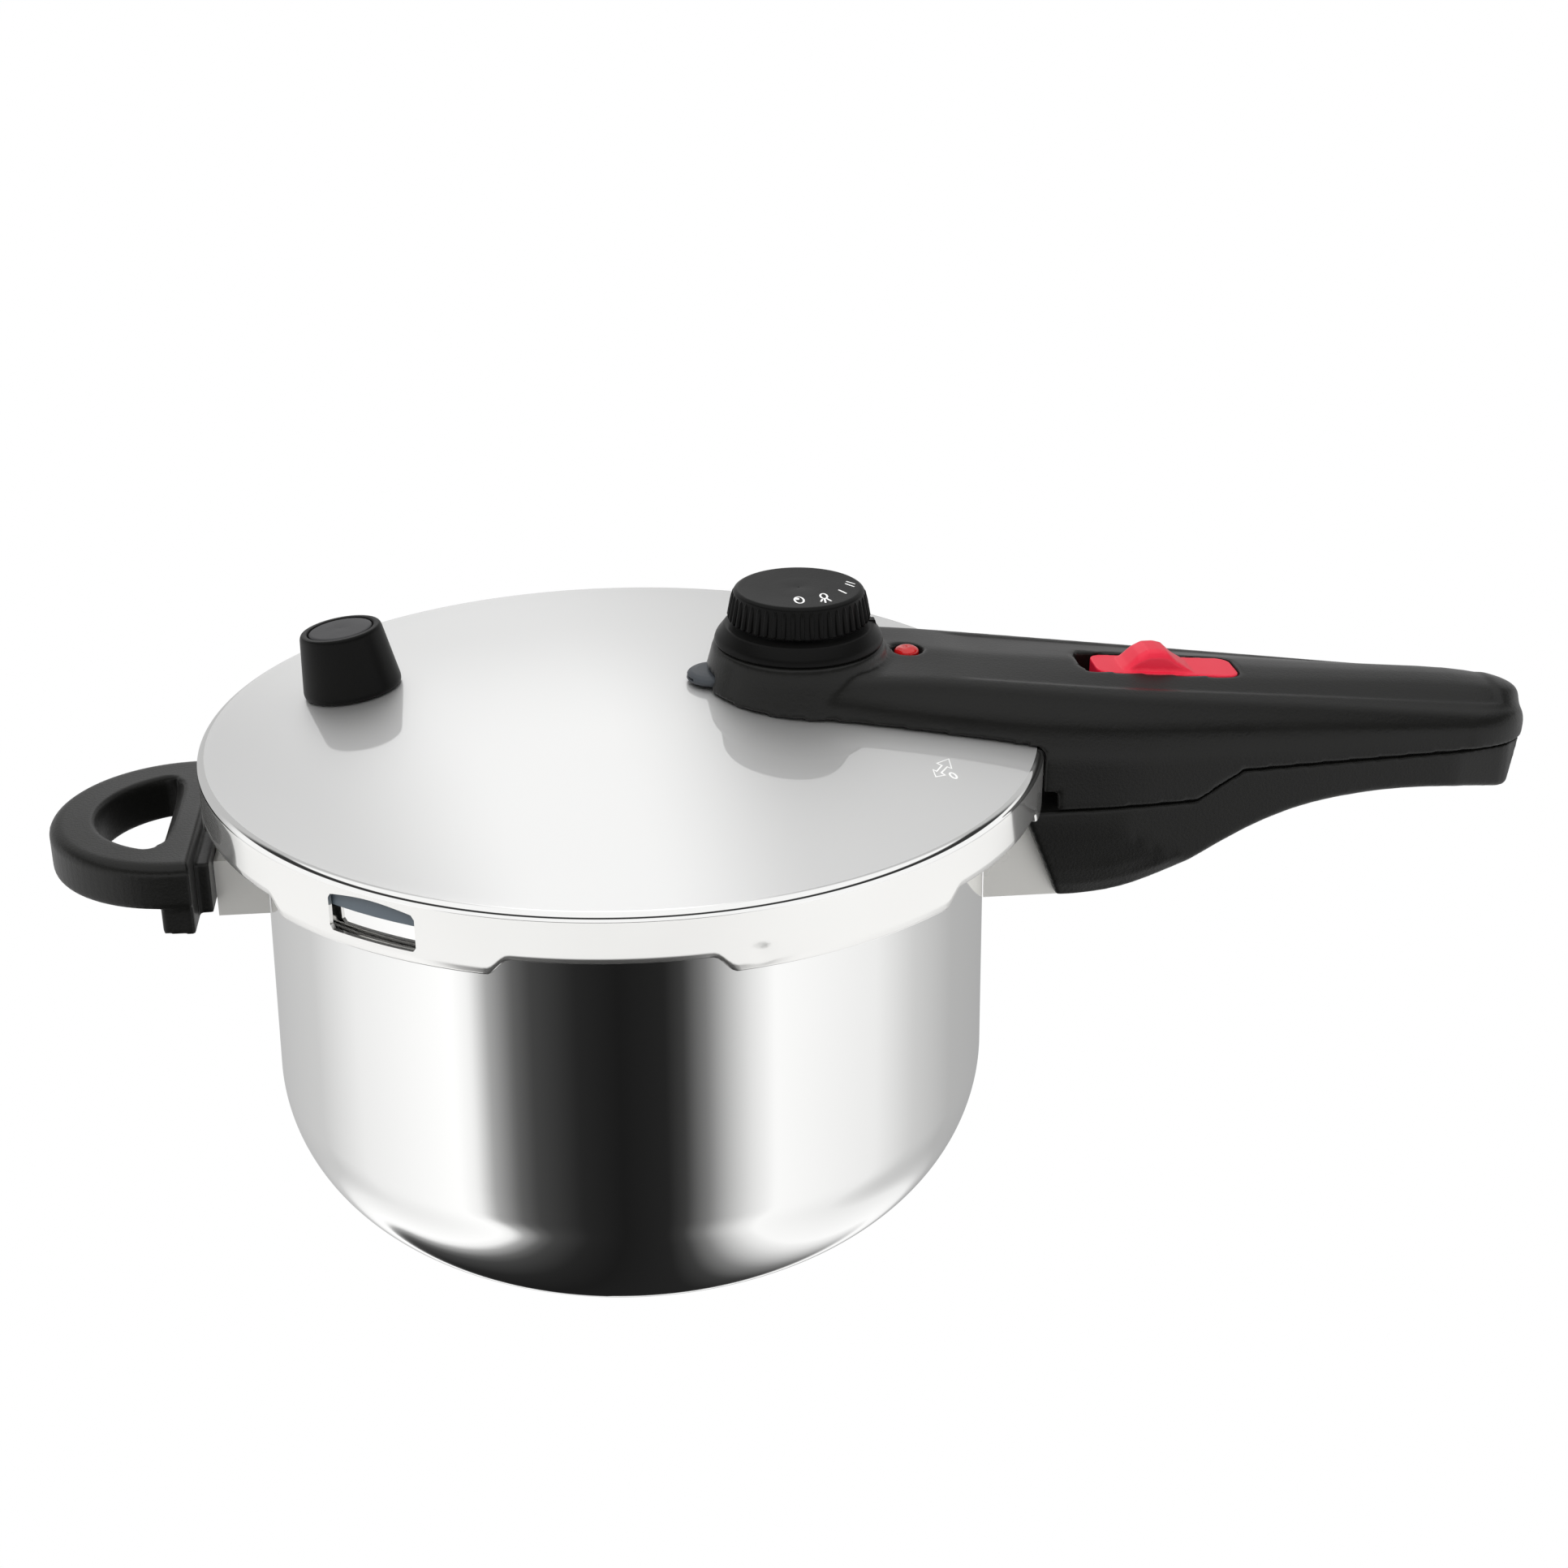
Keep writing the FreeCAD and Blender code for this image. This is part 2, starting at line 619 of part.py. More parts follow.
shape = plane(lid, "XZ_Plane", (0, 0, 0), (0, 1, 0), "window_turn")
box_outline(shape, "lid_r - 2.5", "window_low", "lid_r + 1", "window_high")
groove(lid, shape, "window_deg")
shape = plane(lid, "XZ_Plane", (0, 0, 0), (0, 1, 0), -79)
box_outline(shape, "lid_r - lid_t - 1.3", 138.3, "lid_r - lid_t + 0.3", 141.4)
turn(lid, shape, "3.8")
shape = plane(lid, "XZ_Plane", (0, 0, 0), (0, 1, 0), -78.6)
box_outline(shape, "lid_r - 0.7", 138.7, "lid_r + 1", 141)
groove(lid, shape, "3")
shape = plane(lid, "XY_Plane", (0, 0, 100))
circle(shape, "knob_x", 0, 9)
circle(shape, "pin_x", 0, 5.4)
circle(shape, 104, 14, 2.3)
circle(shape, 104, -14, 2.3)
pocket(lid, shape, 120, back=True)
safe_tilt = number("asin(safe_r / (%s))" % dome)
safe_turn = number("safe_deg")
safe_place = Placement(
    Vector(
        number("safe_r") * math.cos(math.radians(safe_turn)),
        number("safe_r") * math.sin(math.radians(safe_turn)),
        number(dome_at("safe_r")),
    ),
    Rotation(safe_turn, safe_tilt, 0),
)
shape = plane(lid, "XY_Plane")
shape.AttachmentOffset = safe_place
circle(shape, 0, 0, 7)
pocket(lid, shape, 30, both=True)

# Silicone sealing ring with a U section, open to the inside.
ring_top = "(%s - lid_t - seat_gap - 0.1)"
inner_top = ring_top % dome_at("gasket_in")
back_top = ring_top % dome_at("gasket_out - 3.5")
bush("gasket", 0, 0, [
    ("gasket_in", "rim_z + seat_gap"),
    ("gasket_out", "rim_z + seat_gap"),
    ("gasket_out", "shoulder_z - lid_t - 1.3"),
    ("gasket_out - 1", "shoulder_z - lid_t - 0.4"),
    ("gasket_in", inner_top),
    ("gasket_in", inner_top + " - lip_t"),
    ("gasket_out - 3.5", back_top + " - lip_t"),
    ("gasket_out - 3.5", "rim_z + seat_gap + lip_t"),
    ("gasket_in", "rim_z + seat_gap + lip_t"),
])

# Lid handle: selector housing at its inner end, grip with a crowned top towards the tip.
# x, half width low, height where the side starts to lean in, shoulder half width and height, crown
stations = [
    (60, 29.6, 164, 25, 175.8, 176.9),
    (90, 33.4, 159, 24.5, 173.4, 175),
    (120, 34.6, 153, 24.5, 169.8, 171.8),
    (150, 33.6, 150, 24.3, 166.2, 169),
    (213, 27.2, 147.5, 21.4, 159.5, 163.6),
    (258, 23, 145.5, 19.8, 154.3, 160.3),
    ("tip_x - 9", 19, 144.5, 16.6, 152.3, 158.6),
    ("tip_x - 3.5", 15.5, 144.2, 13.4, 151.2, 157.4),
    ("tip_x - 0.9", 12, 144.2, 10.4, 150, 154.6),
    ("tip_x", 9, 144, 8, 148.6, 151.5),
]
upper = body("upper_handle")
profiles = []
for x, foot, lean, wide, edge_z, crown in stations:
    shape = plane(upper, "YZ_Plane", (0, 0, x))
    side = [
        (foot, 130),
        (foot, lean),
        (wide + 0.66 * (foot - wide) + 0.6, lean + 0.5 * (edge_z - lean)),
        (wide + 0.9, edge_z - 1.7),
        (wide - 0.5, edge_z + 0.1),
        (wide - 3, edge_z + 0.8),
        (wide * 0.4, crown - 0.1),
    ]
    outline(shape, side + [(0, crown + 0.7)] + [(-y, z) for y, z in reversed(side)])
    profiles.append(shape)
loft = upper.newObject("PartDesign::AdditiveLoft", "upper_loft")
loft.Profile = profiles[0]
loft.Sections = profiles[1:]
loft.Ruled = True
doc.recompute()
shape = plane(upper, "XZ_Plane", ("knob_x", 0, 0))
outline(shape, [
    (0, 158),
    ("house_low_r + 0.6", 158),
    ("house_low_r", "house_z - 15"),
    ("house_top_r + 1.2", "house_z - 5"),
    ("house_top_r", "house_z"),
    (0, "house_z"),
])
turn(upper, shape)
shape = plane(upper, "XZ_Plane")
outline(shape, [
    (0, "dome_z + rim_gap", dome, -1),
    ("lid_r - shoulder_r", "shoulder_z + rim_gap", "shoulder_r + rim_gap", -1),
    ("lid_r + rim_gap", "shoulder_z - shoulder_r"),
    ("lid_r + rim_gap", "ear_z + rim_gap + 0.2"),
    ("ear_x + ear_t + 1.4", "ear_z + rim_gap + 0.2"),
    ("ear_x + ear_t + 1.4", "part_z + part_gap"),
    ("part_r", "part_z + part_gap"),
    ("rise_r", "part_z + part_gap + rise_z"),
    ("tip_x + 20", "part_z + part_gap + rise_z"),
    ("tip_x + 20", 60),
    (0, 60),
])
groove(upper, shape)
# hollow round the valve and the roof's bearing for the knob's stem
shape = plane(upper, "XY_Plane", (0, 0, 150))
circle(shape, "knob_x", 0, "house_bore")
pocket(upper, shape, "house_roof - 150", back=True)
shape = plane(upper, "XY_Plane", (0, 0, 150))
circle(shape, "knob_x", 0, "stem_r + run_fit")
circle(shape, "pin_x", 0, "pin_hole")
pocket(upper, shape, 60, back=True)
# bores for the two screws that hold the handle to the lid
shape = plane(upper, "XY_Plane", (0, 0, 150))
circle(shape, 104, 14, 2.05)
circle(shape, 104, -14, 2.05)
pocket(upper, shape, 18, back=True)
# outlet opening in the housing's inner end
shape = plane(upper, "YZ_Plane", (0, 0, "knob_x - house_low_r - 3"))
box_outline(shape, -9, 165, 9, 172.2)
pocket(upper, shape, 13, back=True)
# side notches at the housing's foot
shape = plane(upper, "XY_Plane", (0, 0, 158))
box_outline(shape, 79.5, -34, 92.5, -26)
pocket(upper, shape, 7.6, back=True)
# hollow of the grip: seat of the base plate, lower room with two bosses, upper room, slot
shape = plane(upper, "XY_Plane", (0, 0, 130))
box_outline(shape, "hollow_a", "-hollow_w", "plate_b", "hollow_w")
pocket(upper, shape, "part_z + part_gap + 1.7 - 130", back=True)
shape = plane(upper, "XY_Plane", (0, 0, 130))
outline(shape, [
    ("hollow_a", "-hollow_w"),
    ("plate_b - 8.5", "-hollow_w"),
    ("plate_b - 8.5", "6 - hollow_w"),
    ("plate_b", "6 - hollow_w"),
    ("plate_b", "hollow_w - 6"),
    ("plate_b - 8.5", "hollow_w - 6"),
    ("plate_b - 8.5", "hollow_w"),
    ("hollow_a", "hollow_w"),
])
pocket(upper, shape, 16.5, back=True)
shape = plane(upper, "XY_Plane", (0, 0, 146))
box_outline(shape, "hollow_a", "-hollow_w", "hollow_b", "hollow_w")
pocket(upper, shape, "roof_z - 146", back=True)
shape = plane(upper, "XY_Plane", (0, 0, "roof_z - 1"))
outline(shape, [
    ("slot_a + slot_w / 2", "-slot_w"),
    ("slot_b - slot_w / 2", "-slot_w", "slot_w / 2", 1),
    ("slot_b", "-slot_w / 2"),
    ("slot_b", "slot_w / 2", "slot_w / 2", 1),
    ("slot_b - slot_w / 2", "slot_w"),
    ("slot_a + slot_w / 2", "slot_w", "slot_w / 2", 1),
    ("slot_a", "slot_w / 2"),
    ("slot_a", "-slot_w / 2", "slot_w / 2", 1),
])
pocket(upper, shape, 40, back=True)
shape = plane(upper, "YZ_Plane", (0, 0, "ear_x"))
box_outline(shape, "-nose_w - 0.4", "nose_low - 0.4", "nose_w + 0.4", "nose_low + nose_t + 0.4")
pocket(upper, shape, 8, back=True)
shape = plane(upper, "XY_Plane", (0, 0, 130))
circle(shape, "plate_b - 4.2", "hollow_w - 3", 1.55)
circle(shape, "plate_b - 4.2", "3 - hollow_w", 1.55)
pocket(upper, shape, 15, back=True)

plate = body("handle_plate")
shape = plane(plate, "XY_Plane", (0, 0, "part_z + part_gap + 0.05"))
box_outline(shape, "hollow_a + 0.3", "0.3 - hollow_w", "plate_b - 0.3", "hollow_w - 0.3")
pad(plate, shape, 1.6)
shape = plane(plate, "XY_Plane", (0, 0, "part_z"))
circle(shape, "plate_b - 4.2", "hollow_w - 3", 1.7)
circle(shape, "plate_b - 4.2", "3 - hollow_w", 1.7)
pocket(plate, shape, 10, back=True)
shape = plane(plate, "XY_Plane", (0, 0, "part_z"))
circle(shape, "plate_b - 4.2", "hollow_w - 3", 2.7)
circle(shape, "plate_b - 4.2", "3 - hollow_w", 2.7)
pocket(plate, shape, "part_gap + 0.9", back=True)
tacks = body("plate_screws")
shape = plane(tacks, "XY_Plane", (0, 0, "part_z + part_gap + 0.1"))
circle(shape, "plate_b - 4.2", "hollow_w - 3", 2.5)
pad(tacks, shape, 0.8)
shape = plane(tacks, "XY_Plane", (0, 0, "part_z + part_gap + 0.6"))
circle(shape, "plate_b - 4.2", "hollow_w - 3", 1.45)
pad(tacks, shape, 9)


def pair(label, source):
    """A second piece mirrored across the XZ plane, kept with the first in one node."""
    twin = doc.addObject("Part::Mirroring", label + "_twin")
    twin.Source = source
    twin.Normal = Vector(0, 1, 0)
    both = doc.addObject("Part::Compound", label + "_pair")
    both.Links = [source, twin]
    source.Label = label + "_one"
    both.Label = label
    doc.recompute()
    return both


plate_screws = pair("plate_screws", tacks)

# Screws up through the lid into the handle, heads inside the lid.
head_z = "(%s - lid_t - seat_gap)" % dome_at("109")
screw = rod("lid_screws", 104, 14, [
    (4.4, head_z + " - 2.2"),
    (4.4, head_z),
    (1.95, head_z),
    (1.95, 166.5),
])
lid_screws = pair("lid_screws", screw)

# Ring with the index rib, on top of the housing.
ring = bush("selector_collar", "knob_x", 0, [
    (16.5, "house_z + 0.3"),
    ("house_top_r - 0.2", "house_z + 0.3"),
    ("house_top_r - 1", "house_z + 2.2"),
    ("collar_top_r", "collar_z"),
    (16.5, "collar_z"),
])
shape = plane(ring, "XY_Plane", (0, 0, "house_z + 1"))
box_outline(shape, "knob_x + collar_top_r - 1.6", -1.3, "knob_x + collar_top_r + 1.2", 1.3)
pad(ring, shape, "collar_z - house_z - 0.6")

# Duck-bill steam outlet at the housing's inner end.
spout = body("steam_outlet")
shape = plane(spout, "XY_Plane", (0, 0, 168.1))
outline(shape, [
    ("knob_x - house_low_r + 8", -8.6),
    ("knob_x - house_low_r + 8", 8.6),
    ("knob_x - house_low_r + 4.4", 8.6, 9, 1),
    ("knob_x - house_low_r - 3", 0, 9, 1),
    ("knob_x - house_low_r + 4.4", -8.6),
])
pad(spout, shape, 3.4)
shape = plane(spout, "YZ_Plane", (0, 0, "knob_x - house_low_r - 5.6"))
box_outline(shape, -5, 169, 5, 170.5)
pocket(spout, shape, 20, back=True)

# Working valve: seat bush through the lid, nut and seal under it.
seat_top = "(%s + 0.5)" % dome_at("knob_x - 11")
under = "(%s - lid_t)" % dome_at("knob_x + 12")
bush("valve_seat", "knob_x", 0, [
    (2.2, under + " - 5"),
    (8.7, under + " - 5"),
    (8.7, seat_top),
    (11, seat_top),
    (11, seat_top + " + 1.6"),
    (5.2, seat_top + " + 1.6"),
    (5.2, seat_top + " - 2.4"),
    (2.2, seat_top + " - 4.4"),
])
bush("valve_seal", "knob_x", 0, [
    (9.1, under + " - 1.7"),
    (12, under + " - 1.7"),
    (12, under + " - 0.3"),
    (9.1, under + " - 0.3"),
])
bush("valve_nut", "knob_x", 0, [
    (8.8, under + " - 5"),
    (11.6, under + " - 5"),
    (12.2, under + " - 4.4"),
    (12.2, under + " - 2"),
    (8.8, under + " - 2"),
])
plunger_low = seat_top + " - 2.75"
rod("valve_plunger", "knob_x", 0, [
    (1.4, plunger_low + " - 1.4"),
    (4.9, plunger_low + " + 0.6"),
    (4.9, plunger_low + " + 2.4"),
    (1.8, plunger_low + " + 2.4"),
    (1.8, "house_roof - 5.6"),
])


def coil(label, x, mean, wire, low, high, turns):
    """Open helical spring on a vertical axis."""
    piece = body(label)
    drawing = plane(piece, "XZ_Plane", (x, 0, 0))
    circle(drawing, mean, low + " + " + wire, wire)
    made = piece.newObject("PartDesign::AdditiveHelix", label + "_helix")
    made.Profile = drawing
    made.ReferenceAxis = (drawing, ["V_Axis"])
    made.Mode = "height-turns-angle"
    made.setExpression("Height", link("(%s) - (%s) - 2 * %s" % (high, low, wire)))
    made.Turns = turns
    doc.recompute()
    return piece


coil("valve_spring", "knob_x", 3.2, "0.45", plunger_low + " + 2.7", "house_roof - 2.6", 3)

# Selector: stem with a flange under the housing's roof, retaining ring above it, knob on top.
rod("selector_stem", "knob_x", 0, [
    ("stem_r + 3.5", "house_roof - 2.2"),
    ("stem_r + 3.5", "house_roof - 0.4"),
    ("stem_r", "house_roof - 0.4"),
    ("stem_r", "house_z + 0.5"),
    ("stem_r - 0.6", "house_z + 0.5"),
    ("stem_r - 0.6", "house_z + 1.4"),
    ("stem_r", "house_z + 1.4"),
    ("stem_r", "knob_high - 4.4"),
])
bush("selector_ring", "knob_x", 0, [
    ("stem_r - 0.4", "house_z + 0.6"),
    ("stem_r + 2.5", "house_z + 0.6"),
    ("stem_r + 2.5", "house_z + 1.3"),
    ("stem_r - 0.4", "house_z + 1.3"),
])
knob = bush("selector_knob", "knob_x", 0, [
    ("stem_r + 0.15", "house_z + 1.8"),
    ("stem_r + 3", "house_z + 1.8"),
    ("stem_r + 3", "knob_high - 3"),
    ("knob_top_r - 3.4", "knob_high - 3"),
    ("knob_low_r - 3.2", "knob_low"),
    ("knob_low_r - 0.6", "knob_low"),
    ("knob_low_r - 0.6", "knob_low + 1.2"),
    ("knob_top_r - 0.4", "knob_high - 2.2"),
    ("knob_top_r - 0.4", "knob_high - 1"),
    ("knob_top_r - 1.4", "knob_high - 0.3"),
    (0, "knob_high"),
    (0, "knob_high - 4"),
    ("stem_r + 0.15", "knob_high - 4"),
])
rib = plane(knob, "XY_Plane", (0, 0, "knob_low + 0.4"))
circle(rib, "knob_x + knob_low_r - 1", 0, 0.95)
rib_pad = pad(knob, rib, "knob_high - knob_low - 2.6")
ribs = knob.newObject("PartDesign::PolarPattern", "knob_ribs")
ribs.Originals = [rib_pad]
axis_sketch = plane(knob, "XY_Plane", ("knob_x", 0, 0))
ribs.Axis = (axis_sketch, ["N_Axis"])
ribs.Angle = 360
ribs.Occurrences = 46
knob.Tip = ribs
doc.recompute()

# Pressure indicator: red button on a rod that rises through a sleeve in the lid.
sleeve_top = "(%s + 0.5)" % dome_at("pin_x - 7")
sleeve_low = "(%s - lid_t - 0.4)" % dome_at("pin_x + 7")
bush("indicator_sleeve", "pin_x", 0, [
    (2.05, sleeve_low + " - 1.4"),
    (6.8, sleeve_low + " - 1.4"),
    (6.8, sleeve_low),
    (4.8, sleeve_low),
    (4.8, sleeve_top),
    (4.6, sleeve_top + " + 0.8"),
    (2.05, sleeve_top + " + 0.8"),
])
button_z = 176.3
rod("indicator_pin", "pin_x", 0, [
    (3.4, sleeve_low + " - 8"),
    (3.4, sleeve_low + " - 6"),
    (2, sleeve_low + " - 6"),
    (2, sleeve_top + " + 1.1"),
    ("pin_r", sleeve_top + " + 1.1"),
    ("pin_r", button_z - 0.8),
    ("pin_r - 1", button_z),
])

# Lock: red slider in the slot and the steel bar it moves.
slider = body("lock_slider")
shape = plane(slider, "XY_Plane", (0, 0, "roof_z - 3.6"))
outline(shape, [
    ("slot_a + lock_travel - 1.5", "slide_gap - slot_w"),
    ("slot_b + 2", "slide_gap - slot_w"),
    ("slot_b + 2", "slot_w - slide_gap"),
    ("slot_a + lock_travel - 1.5", "slot_w - slide_gap"),
])
pad(slider, shape, 3.3)
shape = plane(slider, "XY_Plane", (0, 0, "roof_z - 1"))
outline(shape, [
    ("slot_a + lock_travel + slide_gap + slot_w / 2", "slide_gap - slot_w"),
    ("slot_b - slide_gap - slot_w / 2", "slide_gap - slot_w", "slot_w / 2", 1),
    ("slot_b - slide_gap", "slide_gap - slot_w / 2"),
    ("slot_b - slide_gap", "slot_w / 2 - slide_gap", "slot_w / 2", 1),
    ("slot_b - slide_gap - slot_w / 2", "slot_w - slide_gap"),
    ("slot_a + lock_travel + slide_gap + slot_w / 2", "slot_w - slide_gap", "slot_w / 2", 1),
    ("slot_a + lock_travel + slide_gap", "slot_w / 2 - slide_gap"),
    ("slot_a + lock_travel + slide_gap", "slide_gap - slot_w / 2", "slot_w / 2", 1),
])
pad(slider, shape, 20)
shape = plane(slider, "XZ_Plane")
outline(shape, [
    ("slot_a", 168.7),
    ("slot_b + 1", 164.9),
    ("slot_b + 1", 190),
    ("slot_a", 190),
])
pocket(slider, shape, 40, both=True)
shape = plane(slider, "XZ_Plane")
outline(shape, [
    ("slot_a + 12", 166),
    ("slot_a + 34", 164),
    ("slot_a + 36", 166.1),
    ("slot_a + 27.5", 173.4),
    ("slot_a + 21", 173.6),
    ("slot_a + 13.5", 167.6),
])
pad(slider, shape, 12.4, both=True)

bar = body("lock_bar")
shape = plane(bar, "XZ_Plane")
outline(shape, [
    ("hollow_a - 0.7", "nose_low"),
    ("hollow_a + 20", "nose_low"),
    ("hollow_a + 20", "roof_z - 6.6"),
    ("hollow_a + 52", "roof_z - 6.6"),
    ("hollow_a + 52", "roof_z - 3.6"),
    ("hollow_a + 17.4", "roof_z - 3.6"),
    ("hollow_a + 17.4", "nose_low + nose_t"),
    ("hollow_a - 0.7", "nose_low + nose_t"),
])
pad(bar, shape, "2 * nose_w", both=True)

# ---- safety valve ----------------------------------------------------------------------------------
# All pieces stand on the dome's normal; heights here count from the lid's upper face.


def tilted(piece):
    piece.Placement = safe_place
    doc.recompute()
    return piece


tilted(bush("safety_seat", 0, 0, [
    (2, "-lid_t - 5"),
    (6.7, "-lid_t - 5"),
    (6.7, 0.4),
    (9.5, 0.4),
    (9.5, 2),
    (7.6, 2),
    (7.6, 12.4),
    (5.9, 12.4),
    (5.9, 3.6),
    (4.4, 2.4),
    (2, 0),
]))
tilted(bush("safety_seal", 0, 0, [
    (7, "-lid_t - 1.9"),
    (9.8, "-lid_t - 1.9"),
    (9.8, "-lid_t - 0.5"),
    (7, "-lid_t - 0.5"),
]))
tilted(bush("safety_nut", 0, 0, [
    (6.8, "-lid_t - 5"),
    (9.2, "-lid_t - 5"),
    (9.8, "-lid_t - 4.4"),
    (9.8, "-lid_t - 2.1"),
    (6.8, "-lid_t - 2.1"),
]))
tilted(rod("safety_plunger", 0, 0, [
    (1.5, 0.1),
    (5.7, 3.9),
    (5.7, 5.6),
    (1.6, 5.6),
    (1.6, 9.6),
]))
tilted(coil("safety_spring", 0, 4.4, "0.5", "5.9", "(cap_high - 3.9)", 4))
tilted(bush("safety_cap", 0, 0, [
    ("cap_low_r - 2.2", 0.2),
    ("cap_low_r", 0.2),
    ("cap_top_r + 0.3", "cap_high - 0.9"),
    ("cap_top_r - 0.6", "cap_high"),
    ("cap_top_r - 2.2", "cap_high"),
    ("cap_top_r - 2.2", "cap_high - 1.6"),
    (0, "cap_high - 1.6"),
    (0, "cap_high - 3.6"),
    (5.9, "cap_high - 3.6"),
    (5.9, 12.7),
    (7.9, 12.7),
    (7.9, "cap_high - 5.8"),
    ("cap_top_r - 2.6", "cap_high - 5.8"),
]))
tilted(rod("safety_disc", 0, 0, [
    ("cap_top_r - 2.5", "cap_high - 1.55"),
    ("cap_top_r - 2.5", "cap_high - 0.5"),
    ("cap_top_r - 3.1", "cap_high - 0.1"),
]))

# ---- check and write -------------------------------------------------------------------------------
doc.removeObject("scratch")
doc.recompute()
kept = [item for item in doc.Objects if item.isDerivedFrom("PartDesign::Body")]
kept = [item for item in kept if not item.Label.endswith("_one")] + [plate_screws, lid_screws]
faults = [item.Label for item in doc.Objects if "Invalid" in item.State or "Error" in item.State]
for item in kept:
    if item.Shape.isNull() or not item.Shape.isValid() or not item.Shape.Solids:
        faults.append(item.Label)
if faults:
    raise RuntimeError("not built: " + ", ".join(faults))
os.makedirs("parts", exist_ok=True)
for item in kept:
    item.Shape.exportStep("parts/%s.step" % item.Label)
    box = item.Shape.BoundBox
    print("%-20s %2d %10.1f  x %7.1f %7.1f  y %7.1f %7.1f  z %7.1f %7.1f" % (
        item.Label, len(item.Shape.Solids), item.Shape.Volume,
        box.XMin, box.XMax, box.YMin, box.YMax, box.ZMin, box.ZMax,
    ))
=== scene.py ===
import math

import bmesh
import bpy
import numpy as np
from mathutils import Matrix, Vector


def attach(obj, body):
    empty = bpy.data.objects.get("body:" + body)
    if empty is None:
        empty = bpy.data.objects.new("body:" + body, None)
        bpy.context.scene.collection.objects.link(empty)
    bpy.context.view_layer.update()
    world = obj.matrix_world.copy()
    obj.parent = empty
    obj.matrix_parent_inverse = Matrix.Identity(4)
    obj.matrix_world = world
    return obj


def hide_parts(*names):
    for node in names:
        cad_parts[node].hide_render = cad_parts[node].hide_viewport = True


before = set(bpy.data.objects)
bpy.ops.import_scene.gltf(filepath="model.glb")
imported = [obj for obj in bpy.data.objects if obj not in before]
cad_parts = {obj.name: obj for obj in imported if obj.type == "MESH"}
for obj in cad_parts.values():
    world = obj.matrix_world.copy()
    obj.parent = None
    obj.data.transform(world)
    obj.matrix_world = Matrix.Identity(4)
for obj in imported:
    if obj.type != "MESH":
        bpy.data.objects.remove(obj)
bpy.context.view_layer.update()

# ---- pot ---------------------------------------------------------------------------------------
# Deep-drawn stainless pot, mirror polished outside: a wide bottom curve, a wall that leans in a little
# towards the top, and a rim turned out and down. Lengths in this script are millimetres until `shape`
# makes the mesh, where they become metres.


def shape(name, points, faces, place=None):
    """Object from points in millimetres, doubles merged and normals outward."""
    mesh = bpy.data.meshes.new(name)
    build = bmesh.new()
    corners = [build.verts.new(place @ Vector(p) if place else Vector(p)) for p in points]
    for face in faces:
        build.faces.new([corners[i] for i in face])
    bmesh.ops.scale(build, vec=(0.001, 0.001, 0.001), verts=build.verts)
    bmesh.ops.remove_doubles(build, verts=build.verts, dist=2e-6)
    bmesh.ops.dissolve_degenerate(build, edges=build.edges, dist=1e-7)
    bmesh.ops.recalc_face_normals(build, faces=build.faces)
    build.to_mesh(mesh)
    build.free()
    made = bpy.data.objects.new(name, mesh)
    bpy.context.scene.collection.objects.link(made)
    return made


def soften(outline, radius, steps=4):
    """Closed outline with its corners rounded; a short side limits the radius."""
    rounded = []
    for i, point in enumerate(outline):
        here = Vector(point)
        before = Vector(outline[i - 1]) - here
        after = Vector(outline[(i + 1) % len(outline)]) - here
        reach = min(radius, 0.45 * before.length, 0.45 * after.length)
        start = here + before.normalized() * reach
        end = here + after.normalized() * reach
        for k in range(steps + 1):
            t = k / steps
            rounded.append(tuple((1 - t) ** 2 * start + 2 * t * (1 - t) * here + t * t * end))
    return rounded


def turned(name, outline, steps=192, centre=(0, 0), start=0.0, sweep=360.0, place=None):
    """Turns a closed outline of (radius, height) about a vertical axis, all round or part of the way."""
    full = sweep >= 360
    stations = steps if full else steps + 1
    size = len(outline)
    points = []
    for s in range(stations):
        angle = math.radians(start + sweep * s / steps)
        for radius, height in outline:
            points.append((centre[0] + radius * math.cos(angle), centre[1] + radius * math.sin(angle), height))
    faces = []
    for s in range(steps):
        t = (s + 1) % stations
        for i in range(size):
            j = (i + 1) % size
            faces.append((s * size + i, t * size + i, t * size + j, s * size + j))
    if not full:
        faces.append(tuple(range(size)))
        faces.append(tuple(reversed(range(steps * size, (steps + 1) * size))))
    return shape(name, points, faces, place)


def arc(centre, radius, start, end, steps):
    """Points on a circle in the outline's plane, both ends included."""
    turns = [math.radians(start + (end - start) * k / steps) for k in range(steps + 1)]
    return [(centre[0] + radius * math.cos(a), centre[1] + radius * math.sin(a)) for a in turns]


def bake(piece):
    """Makes the modifiers' result the piece's own mesh."""
    graph = bpy.context.evaluated_depsgraph_get()
    mesh = bpy.data.meshes.new_from_object(piece.evaluated_get(graph))
    piece.modifiers.clear()
    piece.data = mesh
    return piece


def shade(piece, material, angle=35):
    """Soft shading up to that angle between faces, and the piece's material."""
    piece.data.shade_smooth()
    piece.data.set_sharp_from_angle(angle=math.radians(angle))
    piece.data.materials.clear()
    piece.data.materials.append(material)
    piece.name = piece.name
    return piece


def discard(piece):
    """Removes a helper object and its mesh."""
    mesh = piece.data
    bpy.data.objects.remove(piece)
    bpy.data.meshes.remove(mesh)


def linear(code):
    """Linear colour of an sRGB hex code."""
    parts = [int(code[i:i + 2], 16) / 255 for i in (1, 3, 5)]
    parts = [((v + 0.055) / 1.055) ** 2.4 if v > 0.04045 else v / 12.92 for v in parts]
    return (*parts, 1.0)


